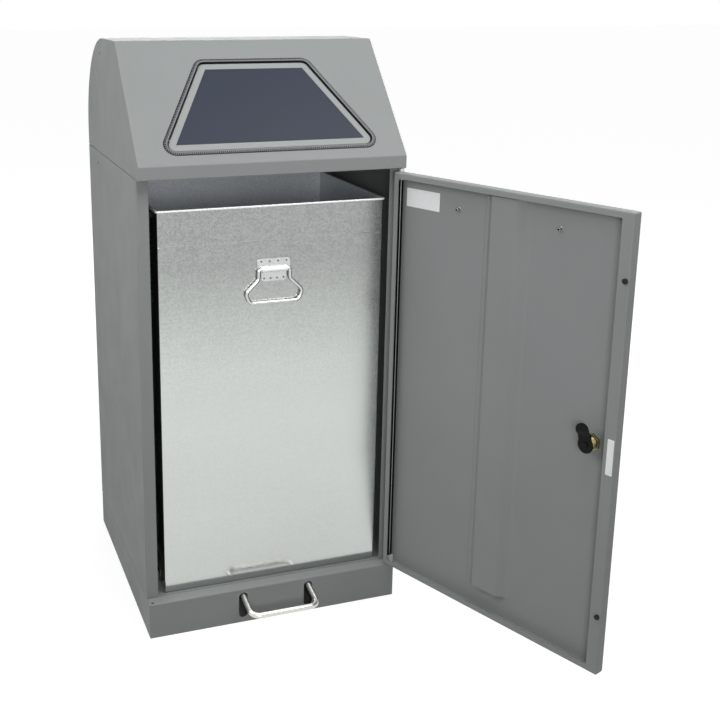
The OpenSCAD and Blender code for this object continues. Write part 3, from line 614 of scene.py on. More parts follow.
def loft(name: str, rings: Sequence[Sequence[Vector]], looped: bool = False) -> Piece:
    """Joins closed rings of points into a skin.

    Args:
        name: The piece's name.
        rings: Rings with equally many points.
        looped: Whether the last ring joins the first. Otherwise both ends are capped.

    Returns:
        The piece.
    """
    work = bmesh.new()
    rows = [[work.verts.new(point) for point in ring] for ring in rings]
    count = len(rows[0])
    for low, high in zip(rows, rows[1:] + rows[:1] if looped else rows[1:]):
        for i in range(count):
            j = (i + 1) % count
            work.faces.new((low[i], low[j], high[j], high[i]))
    if not looped:
        work.faces.new(list(reversed(rows[0])))
        work.faces.new(rows[-1])
    bmesh.ops.recalc_face_normals(work, faces=work.faces)
    return from_work(name, work)


def fillet(points: Sequence[Sequence[float]], radii: Sequence[float], steps: int = 5,
           closed: bool = True) -> list[Vector]:
    """Rounds the corners of a path.

    Args:
        points: The path's corners, in 2-D or 3-D.
        radii: The radius at each corner, 0 for a sharp one.
        steps: Steps round each corner.
        closed: Whether the path closes on itself.

    Returns:
        The rounded path's points.
    """
    corners = [Vector(p).to_3d() for p in points]
    path: list[Vector] = []
    count = len(corners)
    for k, corner in enumerate(corners):
        radius = radii[k]
        if radius <= 0 or (not closed and k in (0, count - 1)):
            path.append(corner)
            continue
        before = (corners[k - 1] - corner).normalized()
        after = (corners[(k + 1) % count] - corner).normalized()
        half = before.angle(after) / 2
        reach = radius / math.tan(half)
        start, middle = corner + before * reach, (before + after).normalized()
        centre = corner + middle * (radius / math.sin(half))
        first = start - centre
        turn = math.pi - 2 * half
        axis = first.cross(corner + after * reach - centre).normalized()
        for i in range(steps + 1):
            path.append(centre + Matrix.Rotation(turn * i / steps, 3, axis) @ first)
    return path


def prism(name: str, outline: Sequence[Vector], low: float, high: float,
          place: Callable[[Vector, float], Vector]) -> Piece:
    """Pushes an outline from one level to another.

    Args:
        name: The piece's name.
        outline: The outline's points.
        low: The first level.
        high: The last level.
        place: Turns an outline point and a level into a point of the row's frame.

    Returns:
        The piece.
    """
    return loft(name, [[place(p, level) for p in outline] for level in (low, high)])


def upright(point: Vector, level: float) -> Vector:
    """An outline in X and Y, pushed along Z."""
    return Vector((point.x, point.y, level))


def inwards(point: Vector, level: float) -> Vector:
    """An outline in X and Z, pushed along Y."""
    return Vector((point.x, level, point.y))


def sideways(point: Vector, level: float) -> Vector:
    """An outline in Y and Z, pushed along X."""
    return Vector((level, point.x, point.y))


def rectangle(x0: float, x1: float, y0: float, y1: float, radius: float,
              steps: int = 5) -> list[Vector]:
    """A rectangle with round corners, counted from its lower left.

    Args:
        x0: Left side.
        x1: Right side.
        y0: Lower side.
        y1: Upper side.
        radius: Corner radius.
        steps: Steps round each corner.

    Returns:
        The outline's points.
    """
    radius = max(radius, 0.00005)
    return fillet([(x0, y0), (x1, y0), (x1, y1), (x0, y1)], [radius] * 4, steps)


def circle(centre: Vector, radius: float, across: Vector, up: Vector, sides: int) -> list[Vector]:
    """Points on a circle in the plane of two directions, from across towards up."""
    return [centre + radius * (math.cos(a) * across + math.sin(a) * up)
            for a in (2 * math.pi * i / sides for i in range(sides))]


def tube(name: str, path: Sequence[Vector], radius: float, sides: int = 20,
         closed: bool = False) -> Piece:
    """A round bar or wire along a path.

    Args:
        name: The piece's name.
        path: Points along the middle of the bar.
        radius: Its radius.
        sides: Points round it.
        closed: Whether the path closes on itself.

    Returns:
        The piece.
    """
    points = list(path)
    count = len(points)
    rings: list[list[Vector]] = []
    across: Optional[Vector] = None
    for k, point in enumerate(points):
        if closed:
            ahead = points[(k + 1) % count] - points[k - 1]
        else:
            ahead = points[min(k + 1, count - 1)] - points[max(k - 1, 0)]
        ahead.normalize()
        if across is None:
            across = ahead.orthogonal()
        across = (across - ahead * across.dot(ahead)).normalized()
        rings.append(circle(point, radius, across, ahead.cross(across), sides))
    if closed:
        drift = rings[0][0] - points[0]
        ahead = (points[1] - points[-1]).normalized()
        settled = (across - ahead * across.dot(ahead)).normalized()
        twist = math.atan2(ahead.dot(settled.cross(drift)), settled.dot(drift))
        shifted = []
        for k, ring in enumerate(rings):
            ahead = (points[(k + 1) % count] - points[k - 1]).normalized()
            turn = Matrix.Rotation(twist * k / count, 3, ahead)
            shifted.append([points[k] + turn @ (p - points[k]) for p in ring])
        rings = shifted
    return loft(name, rings, looped=closed)


def lathe(name: str, profile: Sequence[Pair], centre: Vector, axis: Vector,
          sides: int = 32) -> Piece:
    """Turns a profile about an axis.

    Args:
        name: The piece's name.
        profile: Pairs of distance along the axis and radius.
        centre: The profile's origin.
        axis: The axis' direction.
        sides: Points round the axis.

    Returns:
        The piece.
    """
    across = axis.orthogonal().normalized()
    up = axis.cross(across)
    return loft(name, [circle(centre + axis * s, r, across, up, sides) for s, r in profile])


def drill(centre: Vector, radius: float, low: float, high: float, axis: Vector = UPWARD,
          sides: int = 32) -> Piece:
    """A round cutter for a hole.

    Args:
        centre: A point on its axis.
        radius: The hole's radius.
        low: Where it starts along the axis, from the centre.
        high: Where it ends.
        axis: The axis' direction.
        sides: Points round the hole.

    Returns:
        The cutter.
    """
    return lathe("hole", [(low, radius), (high, radius)], centre, axis, sides)


def quarter(steps: int) -> list[Pair]:
    """Sine and cosine at even steps over a quarter turn."""
    return [(math.sin(a), math.cos(a))
            for a in (i * math.pi / (2 * steps) for i in range(steps + 1))]


def discard(piece: Piece) -> None:
    """Removes a piece that is used up."""
    mesh = piece.data
    bpy.data.objects.remove(piece)
    bpy.data.meshes.remove(mesh)


def merge(name: str, pieces: Sequence[Piece]) -> Piece:
    """Joins pieces into one.

    Args:
        name: The new piece's name.
        pieces: The pieces, which are used up.

    Returns:
        The joined piece.
    """
    work = bmesh.new()
    for piece in pieces:
        work.from_mesh(piece.data)
        discard(piece)
    return from_work(name, work)


def paint_faces(piece: Piece, choose: Callable[[bpy.types.MeshPolygon], int],
                *finishes: Finish) -> Piece:
    """Gives a piece more than one finish.

    Args:
        piece: The piece.
        choose: Gives the number of a face's finish.
        finishes: The finishes.

    Returns:
        The piece.
    """
    for finish in finishes:
        piece.data.materials.append(finish.material())
    for face in piece.data.polygons:
        face.material_index = choose(face)
    return piece


def cut(piece: Piece, *cutters: Piece) -> Piece:
    """Cuts pieces out of another one.

    Args:
        piece: The piece to cut.
        cutters: Closed pieces, which are used up.

    Returns:
        The cut piece.
    """
    for cutter in cutters:
        modify(piece, "cut", "BOOLEAN", operation="DIFFERENCE", solver="EXACT", object=cutter)
    bpy.context.view_layer.update()
    graph = bpy.context.evaluated_depsgraph_get()
    mesh = bpy.data.meshes.new_from_object(piece.evaluated_get(graph))
    piece.modifiers.clear()
    whole, piece.data = piece.data, mesh
    bpy.data.meshes.remove(whole)
    for cutter in cutters:
        discard(cutter)
    return piece


@dataclass
class Cabinet:
    """Plinth, side walls, back, floor and the small parts on them."""

    width: float = 0.455
    depth: float = 0.460
    sheet: float = SHEET
    plinth_h: float = 0.064
    foot_gap: float = 0.0009
    seam_z: float = SEAM_Z
    opening: float = 0.022
    stile: float = 0.020
    flange: float = 0.024
    bend: float = 0.0022
    slot_x: float = 0.0605
    slot_half: float = 0.008
    slot_z: Pair = (0.009, 0.057)
    rod_x: float = -0.212
    rod_y: float = -0.045
    rod_hole: float = 0.008
    rivets: tuple[Pair, Pair] = ((0.133, 0.771), (0.080, 0.973))
    rivet_r: float = 0.0025
    rivet_h: float = 0.0008

    def build(self) -> None:
        """Builds and dresses the cabinet."""
        self.build_plinth()
        for side in LEFT_AND_RIGHT:
            self.build_side_wall(side)
        self.build_rivets()
        dress(BODY_PAINT, "base_plate", "cabinet_floor", "back_panel", "left_splice_strip",
              "right_splice_strip", "hood_brace", edge=FOLD_EDGE)
        dress(BODY_PAINT, "stile_studs", "pedal_bracket_left", "pedal_bracket_right")
        dress(ZINC_SHEET, "container_guides", "container_stop", edge=FOLD_EDGE)
        dress(NYLON, "hinge_washers", "pedal_bushes", "rod_guide_upper", "rod_guide_lower",
              "flap_bush_left", "flap_bush_right")
        dress(STEEL, "hinge_pin_lower", "hinge_pin_upper")
        dress(RUBBER_AND_PAINTED_SHADE, "pedal_stop")

    def build_plinth(self) -> None:
        """The plinth as one folded ring with its slots and holes."""
        r, t, high = self.bend, self.sheet, self.plinth_h
        inner, inner_r = t + self.flange, self.bend - self.sheet
        section = [(0.0, 0.0)] + [(r - r * cos, high - r + r * sin) for sin, cos in quarter(5)]
        section += [(inner, high), (inner, high - t)]
        section += [(t + inner_r - inner_r * sin, high - t - inner_r + inner_r * cos)
                    for sin, cos in quarter(4)]
        section += [(t, 0.0)]
        half, deep = self.width / 2, self.depth / 2
        rings = []
        for inset, z in section:
            flat = rectangle(inset - half, half - inset, inset - deep, deep - inset,
                             max(r - inset, LEAST_RADIUS), 4)
            rings.append([upright(p, z) for p in flat])
        cutters = []
        for side in LEFT_AND_RIGHT:
            x, w = side * self.slot_x, self.slot_half
            slot = rectangle(x - w, x + w, *self.slot_z, w - 0.00001, 12)
            cutters.append(prism("slot", slot, -deep - 0.005, -deep + 0.004, inwards))
            cutters.append(drill(Vector((side * DOOR_PIVOT[0], DOOR_PIVOT[1], high)), PIVOT_HOLE,
                                 -THROUGH, THROUGH))
        cutters.append(drill(Vector((self.rod_x, self.rod_y, high)), self.rod_hole,
                             -THROUGH, THROUGH))
        plinth = cut(loft("plinth_ring", rings, looped=True), *cutters)
        settle(plinth, Body.CABINET, Slot.BODY_PAINT, BODY_PAINT, "plinth")

    def build_side_wall(self, side: int) -> None:
        """A side wall folded from one sheet, with its stile and rear flange.

        Args:
            side: -1 for the left wall, 1 for the right one.
        """
        half, deep, t = self.width / 2, self.depth / 2, self.sheet
        front, edge, flange = self.opening - deep, half - self.stile, half - t - self.flange
        corners = [
            (edge, front), (half, front), (half, deep), (half - t, deep), (half - t, deep - t),
            (flange, deep - t), (flange, deep - 2 * t), (half - t, deep - 2 * t),
            (half - t, front + t), (edge, front + t),
        ]
        radii = [0.0003, self.bend, 0.0006, 0, 0, 0, 0, 0, self.bend - t, 0.0003]
        outline = fillet([(side * x, y) for x, y in corners], radii, 5)
        name = "left" if side < 0 else "right"
        low, high = self.plinth_h + self.foot_gap, self.seam_z - 0.0001
        settle(prism(f"{name}_side_wall", outline, low, high, upright), Body.CABINET,
               Slot.BODY_PAINT, BODY_PAINT,
               f"{name}_side_panel", f"{name}_front_stile")

    def build_rivets(self) -> None:
        """Domed rivet heads on the cabinet's sides, painted darker as shade."""
        r = self.rivet_r
        dome = [(-0.0003, r), (0.0, r)] + [(self.rivet_h * sin, r * cos + 0.0001)
                                           for sin, cos in quarter(7)[1:-1]]
        heads = [lathe("rivet", dome, Vector((side * self.width / 2, y, z)), side * ACROSS, 24)
                 for side in LEFT_AND_RIGHT for y, z in self.rivets]
        settle(merge("rivet_heads", heads), Body.CABINET, Slot.BODY_PAINT, RIVET_PAINTED_SHADE,
               "body_rivets", angle=50)


@dataclass
class Slope:
    """The hood's slope: X across, s up the slope from the lip, n out of the hood."""

    front: float = FACE_Y
    foot_z: float = 0.816
    angle: float = math.atan2(0.184, 0.166)

    def point(self, x: float, s: float, n: float) -> Vector:
        """A point on the slope in the row's frame.

        Args:
            x: Distance to the right.
            s: Distance up the slope.
            n: Height above the slope.

        Returns:
            The point.
        """
        cos, sin = math.cos(self.angle), math.sin(self.angle)
        return Vector((x, self.front + s * cos - n * sin, self.foot_z + s * sin + n * cos))


@dataclass
class FlapOutline:
    """The trapezium of the flap's inlay, grown by some width with round corners."""

    bottom: float = 0.160
    top: float = 0.085
    start: float = 0.0395
    length: float = 0.147

    def corners(self) -> list[Vector]:
        """The inlay's corners, from the lower left round to the upper left."""
        high = self.start + self.length
        return [Vector((-self.bottom, self.start, 0)), Vector((self.bottom, self.start, 0)),
                Vector((self.top, high, 0)), Vector((-self.top, high, 0))]

    def stations(self, pitch: float, at: float) -> list[tuple[Vector, Vector]]:
        """Points along the inlay's edge with their outward directions.

        Args:
            pitch: Distance between points, measured on the grown outline.
            at: How far that outline is grown.

        Returns:
            Pairs of a point and its outward direction.
        """
        lean = math.atan2(self.bottom - self.top, self.length)
        turns = [(math.pi - lean, 1.5 * math.pi), (-math.pi / 2, lean), (lean, math.pi / 2),
                 (math.pi / 2, math.pi - lean)]
        corners = self.corners()
        found = []
        for k, (first, last) in enumerate(turns):
            steps = max(2, round(at * (last - first) / pitch))
            for i in range(steps):
                a = first + (last - first) * i / steps
                found.append((corners[k], Vector((math.cos(a), math.sin(a), 0))))
            edge = corners[(k + 1) % 4] - corners[k]
            steps = max(1, round(edge.length / pitch))
            out = Vector((math.cos(last), math.sin(last), 0))
            for i in range(steps):
                found.append((corners[k] + edge * (i / steps), out))
        return found


@dataclass
class Hood:
    """The hood with its cheeks, the opening for the flap and the rubber trim round it."""

    half: float = 0.2275
    sheet: float = SHEET
    base_z: float = SEAM_Z
    top_z: float = 1.0
    back: float = 0.230
    back_r: float = 0.180
    lip_return: float = 0.020
    edge: float = 0.0014
    gap: float = 0.0012
    bend: float = 0.004
    least_bend: float = 0.0008
    lip_bend: float = 0.0016
    opening: float = 0.0175
    window: Pair = (-0.006, 0.006)
    window_pitch: float = 0.002
    trim: Pair = (0.0135, 0.021)
    ribs_at: float = 0.018
    rib_pitch: float = 0.0034
    rib_depth: float = 0.0009
    slope: Slope = field(default_factory=Slope)
    outline: FlapOutline = field(default_factory=FlapOutline)

    def build(self) -> None:
        """Builds and dresses the hood."""
        self.build_shell()
        self.build_trim()

    def side_view(self, inset: float, foot: float, inner: bool) -> list[Vector]:
        """The hood's outline in Y and Z.

        Args:
            inset: Distance inside the outer skin.
            foot: Height of its lower end.
            inner: Whether it is the inner skin, which leaves the folded return standing.

        Returns:
            The outline's points, always equally many for one kind.
        """
        a = self.slope.angle
        front = self.slope.front
        foot_z = self.slope.foot_z + inset * (math.sin(a) - 1) / math.cos(a)
        rise = self.top_z - self.slope.foot_z
        head_y = front + (inset + (rise - inset) * math.cos(a)) / math.sin(a)
        bend = max(self.bend - inset, self.least_bend)
        if inner:
            corners = [(front + self.lip_return, foot),
                       (front + self.lip_return, self.base_z + self.sheet),
                       (front + inset, self.base_z + self.sheet)]
            radii = [0, 0, self.least_bend]
        else:
            corners = [(self.back - inset, foot), (front + inset, foot)]
            radii = [0, self.lip_bend]
        corners += [(front + inset, foot_z), (head_y, self.top_z - inset),
                    (self.back - inset, self.top_z - inset)]
        radii += [bend, bend, 0]
        path = fillet(corners, radii, 6, closed=False)[0 if inner else 1:-1]
        middle = (self.back - self.back_r, self.top_z - self.back_r)
        radius = self.back_r - inset
        path += [Vector((middle[0] + radius * math.sin(t), middle[1] + radius * math.cos(t), 0))
                 for t in (i * math.pi / 64 for i in range(33))]
        path.append(Vector((self.back - inset, foot, 0)))
        return path

    def build_shell(self) -> None:
        """The hood in one skin with soft long edges, hollowed, with its opening and hinge holes."""
        foot, wall = self.base_z + self.gap, self.half - self.sheet
        levels = [(self.half - self.edge * (1 - cos), self.edge * (1 - sin))
                  for sin, cos in quarter(4)]
        rings = [[sideways(p, -x) for p in self.side_view(inset, foot, False)]
                 for x, inset in levels]
        rings += [[sideways(p, x) for p in self.side_view(inset, foot, False)]
                  for x, inset in reversed(levels)]
        room = prism("room", self.side_view(self.sheet, self.base_z - THROUGH, True), -wall,
                     wall, sideways)
        hole = [base + out * self.opening
                for base, out in self.outline.stations(self.window_pitch, self.opening)]
        window = loft("window",
                      [[self.slope.point(p.x, p.y, n) for p in hole] for n in self.window])
        pins = [drill(Vector((side * DOOR_PIVOT[0], DOOR_PIVOT[1], self.base_z)), PIVOT_HOLE,
                      -THROUGH, THROUGH)
                for side in LEFT_AND_RIGHT]
        settle(cut(loft("hood_skin", rings), room, window, *pins), Body.CABINET,
               Slot.BODY_PAINT, BODY_PAINT,
               "hood_shell", "hood_left_cheek", "hood_right_cheek", angle=28)

    def build_trim(self) -> None:
        """The rubber trim on the opening's edge with cross ribs; grooves, inner wall and back are
        painted shade.
        """
        inner, outer = self.trim
        section = [
            (inner, -0.0030), (inner, 0.0), (inner + 0.0002, 0.0009), (inner + 0.0008, 0.0017),
            (inner + 0.0018, 0.0020), (inner + 0.0030, 0.0020), (inner + 0.0044, 0.0017),
            (inner + 0.0060, 0.0010), (outer, 0.0003), (outer - 0.0001, 0.0), (self.opening, 0.0),
            (self.opening, -self.sheet), (outer, -self.sheet), (outer - 0.0006, -0.0032),
            (inner + 0.0030, -0.0035), (inner + 0.0006, -0.0034),
        ]
        grooved, share = (2, 3), {5: 0.3, 6: 1.0, 7: 1.0, 8: 0.5}
        rings = []
        for k, (base, out) in enumerate(self.outline.stations(self.rib_pitch / 5, self.ribs_at)):
            sunk = self.rib_depth if k % 5 in grooved else 0.0
            rings.append([self.slope.point(spot.x, spot.y, n - sunk * share.get(i, 0.0))
                          for i, (spot, n) in enumerate((base + out * g, n) for g, n in section)])

        def finish_of(face: bpy.types.MeshPolygon) -> int:
            """1 for the grooves, flanks and back, painted black as shade, 0 for the crest."""
            spots = [v % len(section) for v in face.vertices]
            groove_shade = min(face.vertices) // len(section) % 5 in (1, 2) and max(spots) > 5
            return int(groove_shade or min(spots) < 3 or max(spots) > 7)

        trim = paint_faces(loft("ribbed_edge_trim", rings, looped=True), finish_of,
                           TRIM_RUBBER, RUBBER_AND_PAINTED_SHADE)
        settle(trim, Body.CABINET, Slot.RUBBER_AND_PAINTED_SHADE, TRIM_RUBBER, "opening_trim", angle=40)


@dataclass
class Flap:
    """The swinging flap: a folded pan with ears and stop tabs, and the inlay on its face."""

    border: float = 0.012
    sheet: float = SHEET
    face: float = -0.001
    rim: float = -0.012
    bend: float = 0.0016
    pitch: float = 0.003
    ear_x: float = 0.070
    ear_t: float = 0.003
    ear_hub: float = 0.0095
    ear_bore: float = 0.00502
    ear_foot: Pair = (0.035, 0.0015)
    shaft_s: float = 0.205
    shaft_n: float = -0.016
    tab_x: float = 0.110
    tab_half: float = 0.012
    tab_bend: float = 0.002
    tab_s: Pair = (0.0080, 0.0290)
    tab_n: Pair = (-0.009, -0.0075)
    slope: Slope = field(default_factory=Slope)
    outline: FlapOutline = field(default_factory=FlapOutline)

    def build(self) -> None:
        """Builds and dresses the flap."""
        pieces = [self.pan(), *map(self.ear, LEFT_AND_RIGHT), *map(self.tab, LEFT_AND_RIGHT)]
        settle(merge("flap_pan", pieces), Body.FLAP, Slot.FLAP_PAINT, FLAP_PAINT, "flap_panel")
        dress(INLAY, "flap_inlay", edge=0.0002)
        dress(RUBBER_AND_PAINTED_SHADE, "flap_buffers")
        dress(STEEL, "flap_shaft", "flap_crank")

    def pan(self) -> Piece:
        """The flap's face with its rim folded back."""
        b, t, r, face = self.border, self.sheet, self.bend, self.face
        section = [(0.0, face), (b - r, face)]
        section += [(b - r + r * sin, face - r + r * cos) for sin, cos in quarter(4)[1:]]
        section += [(b, self.rim), (b - t, self.rim), (b - t, face - t), (0.0, face - t)]
        marks = self.outline.stations(self.pitch, b)
        return loft("pan", [[self.slope.point(spot.x, spot.y, n)
                             for spot in (base + out * max(g, 0.0002) for base, out in marks)]
                             for g, n in section])

    def ear(self, side: int) -> Piece:
        """An ear that carries the flap on its shaft.

        Args:
            side: -1 for the left ear, 1 for the right one.

        Returns:
            The ear.
        """
        top = self.outline.start + self.outline.length + self.border
        s, n, hub = self.shaft_s, self.shaft_n, self.ear_hub
        low, heel, toe = self.face - self.sheet, top - self.ear_foot[0], top - self.ear_foot[1]
        path = [Vector((x, y, 0))
                for x, y in ((heel, low), (toe, low), (toe, n + hub), (s, n + hub))]
        path += [Vector((s + hub * math.sin(a), n + hub * math.cos(a), 0))
                 for a in (i * math.pi / 12 for i in range(1, 12))]
        path += [Vector((s, n - hub, 0)), Vector((heel, self.rim, 0))]
        x = side * self.ear_x
        ear = prism("ear", path, x - self.ear_t / 2, x + self.ear_t / 2,
                    lambda p, level: self.slope.point(level, p.x, p.y))
        return cut(ear, drill(self.slope.point(x, s, n), self.ear_bore, -0.004, 0.004, ACROSS, 40))

    def tab(self, side: int) -> Piece:
        """A stop tab below the flap's lower rim, left for a side of -1, right for 1."""
        x, half = side * self.tab_x, self.tab_half
        flat = rectangle(x - half, x + half, *self.tab_s, self.tab_bend, 4)
        return loft("tab", [[self.slope.point(p.x, p.y, n) for p in flat] for n in self.tab_n])


@dataclass
class Pedal:
    """The pedal's bent bar and the linkage that it works."""

    half: float = 0.0605
    bar_r: float = 0.005
    pivot: Pair = (-0.180, 0.051)
    elbow: Pair = (-0.230, 0.051)
    elbow_bend: float = 0.030
    toe: Pair = (-0.284, 0.041)
    bend: float = 0.016
    spring: Triple = (-0.212, -0.045, 0.556)
    spring_len: float = 0.144
    spring_r: float = 0.00675
    wire_r: float = 0.00125
    coils: int = 15
    pressed: float = 0.741

    def build(self) -> None:
        """Builds and dresses the pedal and its linkage."""
        self.build_bar()
        self.build_spring()
        dress(STAINLESS, "pedal_shaft")
        dress(STEEL, "pedal_lever", "lever_pin", "push_rod", "rod_top_pin", "rod_collar")

    def build_bar(self) -> None:
        """One bar, bent at the plinth's face and at its corners."""
        corners, radii = [], []
        for side in LEFT_AND_RIGHT:
            run = [(self.pivot, 0.0), (self.elbow, self.elbow_bend), (self.toe, self.bend)]
            for (y, z), radius in (run if side < 0 else reversed(run)):
                corners.append((side * self.half, y, z))
                radii.append(radius)
        bar = tube("pedal_loop_bar", fillet(corners, radii, 10, closed=False), self.bar_r, 28)
        settle(bar, Body.PEDAL, Slot.STAINLESS, STAINLESS, "pedal_bar")

    def build_spring(self) -> None:
        """The wound return spring at rest, with closed end coils; the real one shortens as the rod
        rises.
        """
        x, y, z = self.spring
        steps = 22
        low, high = z + self.wire_r, z + self.spring_len - self.wire_r
        path = []
        total = self.coils * steps
        for i in range(total + 1):
            turn = i / steps
            share = min(max((turn - 1) / (self.coils - 2), 0.0), 1.0)
            closed_end = 2 * self.wire_r * (min(turn, 1.0) + max(turn - self.coils + 1, 0.0))
            level = low + closed_end + share * (high - low - 4 * self.wire_r)
            a = 2 * math.pi * turn
            path.append(Vector((x + self.spring_r * math.cos(a),
                                y + self.spring_r * math.sin(a), level)))
        spring = tube("return_spring_coils", path, self.wire_r * 0.98, 10)
        settle(spring, Body.CABINET, Slot.STEEL, STEEL, "return_spring", angle=60)
        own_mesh(spring)


@dataclass
class Container:
    """The galvanised inner container with its rolled hem."""

    left: float = -0.1945
    right: float = 0.1995
    front: float = -0.203
    back: float = 0.097
    base: float = 0.0655
    top: float = 0.741
    sheet: float = SHEET
    hem_h: float = 0.004
    hem_w: float = 0.0025
    corner: float = 0.0035
    fold: float = 0.003

    def build(self) -> None:
        """Builds the container as one folded shell."""
        t, r, hem, base, top = self.sheet, self.fold, self.hem_w, self.base, self.top
        section = [(r - r * sin, base + r - r * cos) for sin, cos in quarter(4)]
        low = top - self.hem_h
        section += [(0.0, low - 0.0004), (-0.0003, low), (-0.0012, low + 0.0001),
                    (-0.0019, low + 0.0004), (-hem + 0.0001, low + 0.0010), (-hem, low + 0.0018),
                    (-hem, low + 0.0026), (-hem + 0.0003, low + 0.0033), (-0.0016, low + 0.0038),
                    (-0.0008, top), (0.0004, top), (0.0011, top - 0.0002), (t, top - 0.0008)]
        section += [(t + r * (1 - cos), base + t + r - r * sin) for sin, cos in quarter(4)]
        rings = []
        for inset, z in section:
            flat = rectangle(self.left + inset, self.right - inset, self.front + inset,
                             self.back - inset,
                             min(max(self.corner - inset, 0.0012), 0.006), 6)
            rings.append([upright(p, z) for p in flat])

        def finish_of(face: bpy.types.MeshPolygon) -> int:
            """0 outside, 1 inside (painted light), 2 on the hem (painted highlight)."""
            ring = min(face.vertices) // len(rings[0])
            return 1 if ring >= len(rings) - 6 else 2 if ring >= 6 else 0

        shell = paint_faces(loft("container_box", rings), finish_of, ZINC_FRONT,
                            ZINC_INSIDE_PAINTED_LIGHT, ZINC_PAINTED_HIGHLIGHT)
        settle(shell, Body.CONTAINER, Slot.GALVANISED, ZINC_FRONT, "container_shell", angle=30)


@dataclass
class CarryHandle:
    """The handle on the container's front: plate, rolls, welds and the wire loop."""

    middle: float = 0.0025
    wall: float = -0.203
    axis_y: float = -0.20795
    axis_z: float = 0.6325
    barrel_r: float = 0.00475
    barrel_len: float = 0.045
    plate_half: float = 0.029
    plate_up: float = 0.018
    plate_foot: float = 0.0020
    plate_down: float = 0.021
    plate_bend: float = 0.005
    plate_t: float = 0.0015
    plate_edge: float = 0.0004
    wire_r: float = 0.003
    bead_half: float = 0.028
    bead_r: float = 0.0024
    bead_out: float = 0.0006
    bead_up: float = 0.0070
    bead_shift: float = 0.002
    play: float = 0.00012
    weld_inset: float = 0.005
    weld_spans: Pair = (0.044, 0.0342)
    loop: tuple[Pair, ...] = ((0.0275, 0.0), (0.0275, -0.0170), (0.0500, -0.0385),
                              (0.0430, -0.0565))
    bends: tuple[float, ...] = (0.0035, 0.012, 0.010, 0.010)

    def build(self) -> None:
        """Builds and dresses the handle."""
        self.build_plate()
        self.build_welds()
        self.build_wire()

    def front_on(self, point: Vector, level: float) -> Vector:
        """An outline round the barrel's middle, pushed towards the front.

        Args:
            point: X and Z from the middle of the barrel.
            level: Distance in front of the container's wall.

        Returns:
            The point in the row's frame.
        """
        return Vector((self.middle + point.x, self.wall - level, self.axis_z + point.y))

    def build_plate(self) -> None:
        """The plate, folded into a roll round the wire with a bead above it."""
        wide, narrow, r, bead_r = self.plate_half, self.barrel_len / 2, self.barrel_r, self.bead_r
        foot, top, bottom, bend = self.plate_foot, self.plate_up, -self.plate_down, self.plate_bend
        upper = fillet([(-wide, foot), (wide, foot), (wide, top), (-wide, top)],
                       [0.001, 0.001, bend, bend], 6)
        lower = fillet([(-narrow, bottom), (narrow, bottom), (narrow, 0.0), (-narrow, 0.0)],
                       [bend, bend, 0, 0], 6)
        pieces = []
        for outline in (upper, lower):
            middle = sum(outline, Vector()) / len(outline)
            drawn = [p + (middle - p).normalized() * self.plate_edge for p in outline]
            levels = ((outline, 0.0), (outline, self.plate_t - self.plate_edge),
                      (drawn, self.plate_t))
            pieces.append(loft("plate",
                               [[self.front_on(p, level) for p in ring] for ring, level in levels]))
        rim = [(0.0, r - 0.0014), (0.0, r - 0.0004), (0.0003, r)]
        ends = [(bead_r * (1 - cos), bead_r * sin) for sin, cos in quarter(6)[1:]]
        axis = Vector((self.middle, self.axis_y, self.axis_z))
        bead = Vector((self.middle + self.bead_shift - self.bead_half,
                       self.wall - self.bead_out, self.axis_z + self.bead_up))
        for half, start, profile, sides in ((narrow, axis - narrow * ACROSS, rim, 40),
                                            (self.bead_half, bead, ends, 28)):
            turned = profile + [(2 * half - d, s) for d, s in reversed(profile)]
            pieces.append(lathe("roll", turned, start, ACROSS, sides))
            # The roll and the bead get a painted highlight.
            for face in pieces[-1].data.polygons:
                face.material_index = 1
        plate = paint_faces(merge("handle_plate_rolled", pieces), lambda face: face.material_index,
                            ZINC_PLATE, ZINC_PAINTED_HIGHLIGHT)
        plate = cut(plate, drill(axis, self.wire_r + self.play, -0.05, 0.05, ACROSS))
        settle(plate, Body.CONTAINER, Slot.GALVANISED, ZINC_PLATE, "handle_plate", angle=40)

    def build_welds(self) -> None:
        """The dark weld dimples in two rows."""
        cup = [(-0.0002, 0.0016), (0.0003, 0.0016), (0.0004, 0.0013), (0.0002, 0.0009),
               (0.0001, 0.0004)]
        dots = [lathe("dot", cup, self.front_on(Vector((k * span, z, 0)), self.plate_t),
                      -INWARD, 20)
                for z, span in zip((self.plate_up - self.weld_inset,
                                    self.weld_inset - self.plate_down), self.weld_spans)
                for k in (-0.5, -1 / 6, 1 / 6, 0.5)]
        settle(merge("weld_dimples", dots), Body.CONTAINER, Slot.STEEL, WELD_DARK,
               "handle_rivets", angle=60)

    def build_wire(self) -> None:
        """The wire loop with its easy bends."""
        corners = list(self.loop) + [(-x, z) for x, z in reversed(self.loop)]
        flat = fillet(corners, list(self.bends) + list(reversed(self.bends)), 9)
        path = [Vector((self.middle + p.x, self.axis_y, self.axis_z + p.y)) for p in flat]
        wire = tube("handle_wire_loop", path, self.wire_r, 20, closed=True)
        settle(wire, Body.BAIL, Slot.STEEL, BRIGHT_ZINC, "bail_handle", angle=60)


@dataclass
class Swing:
    """The door's turn about its pivots, from closed to the rest position."""

    pivot: Pair = DOOR_PIVOT
    opened: float = 112.0

    def matrix(self) -> Matrix:
        """The turn as a matrix."""
        about = Vector((self.pivot[0], self.pivot[1], 0))
        return (Matrix.Translation(about) @ Matrix.Rotation(math.radians(self.opened), 4, "Z")
                @ Matrix.Translation(-about))

    def turn(self, piece: Piece) -> Piece:
        """Turns a piece's mesh from closed to open."""
        piece.data.transform(self.matrix())
        return piece


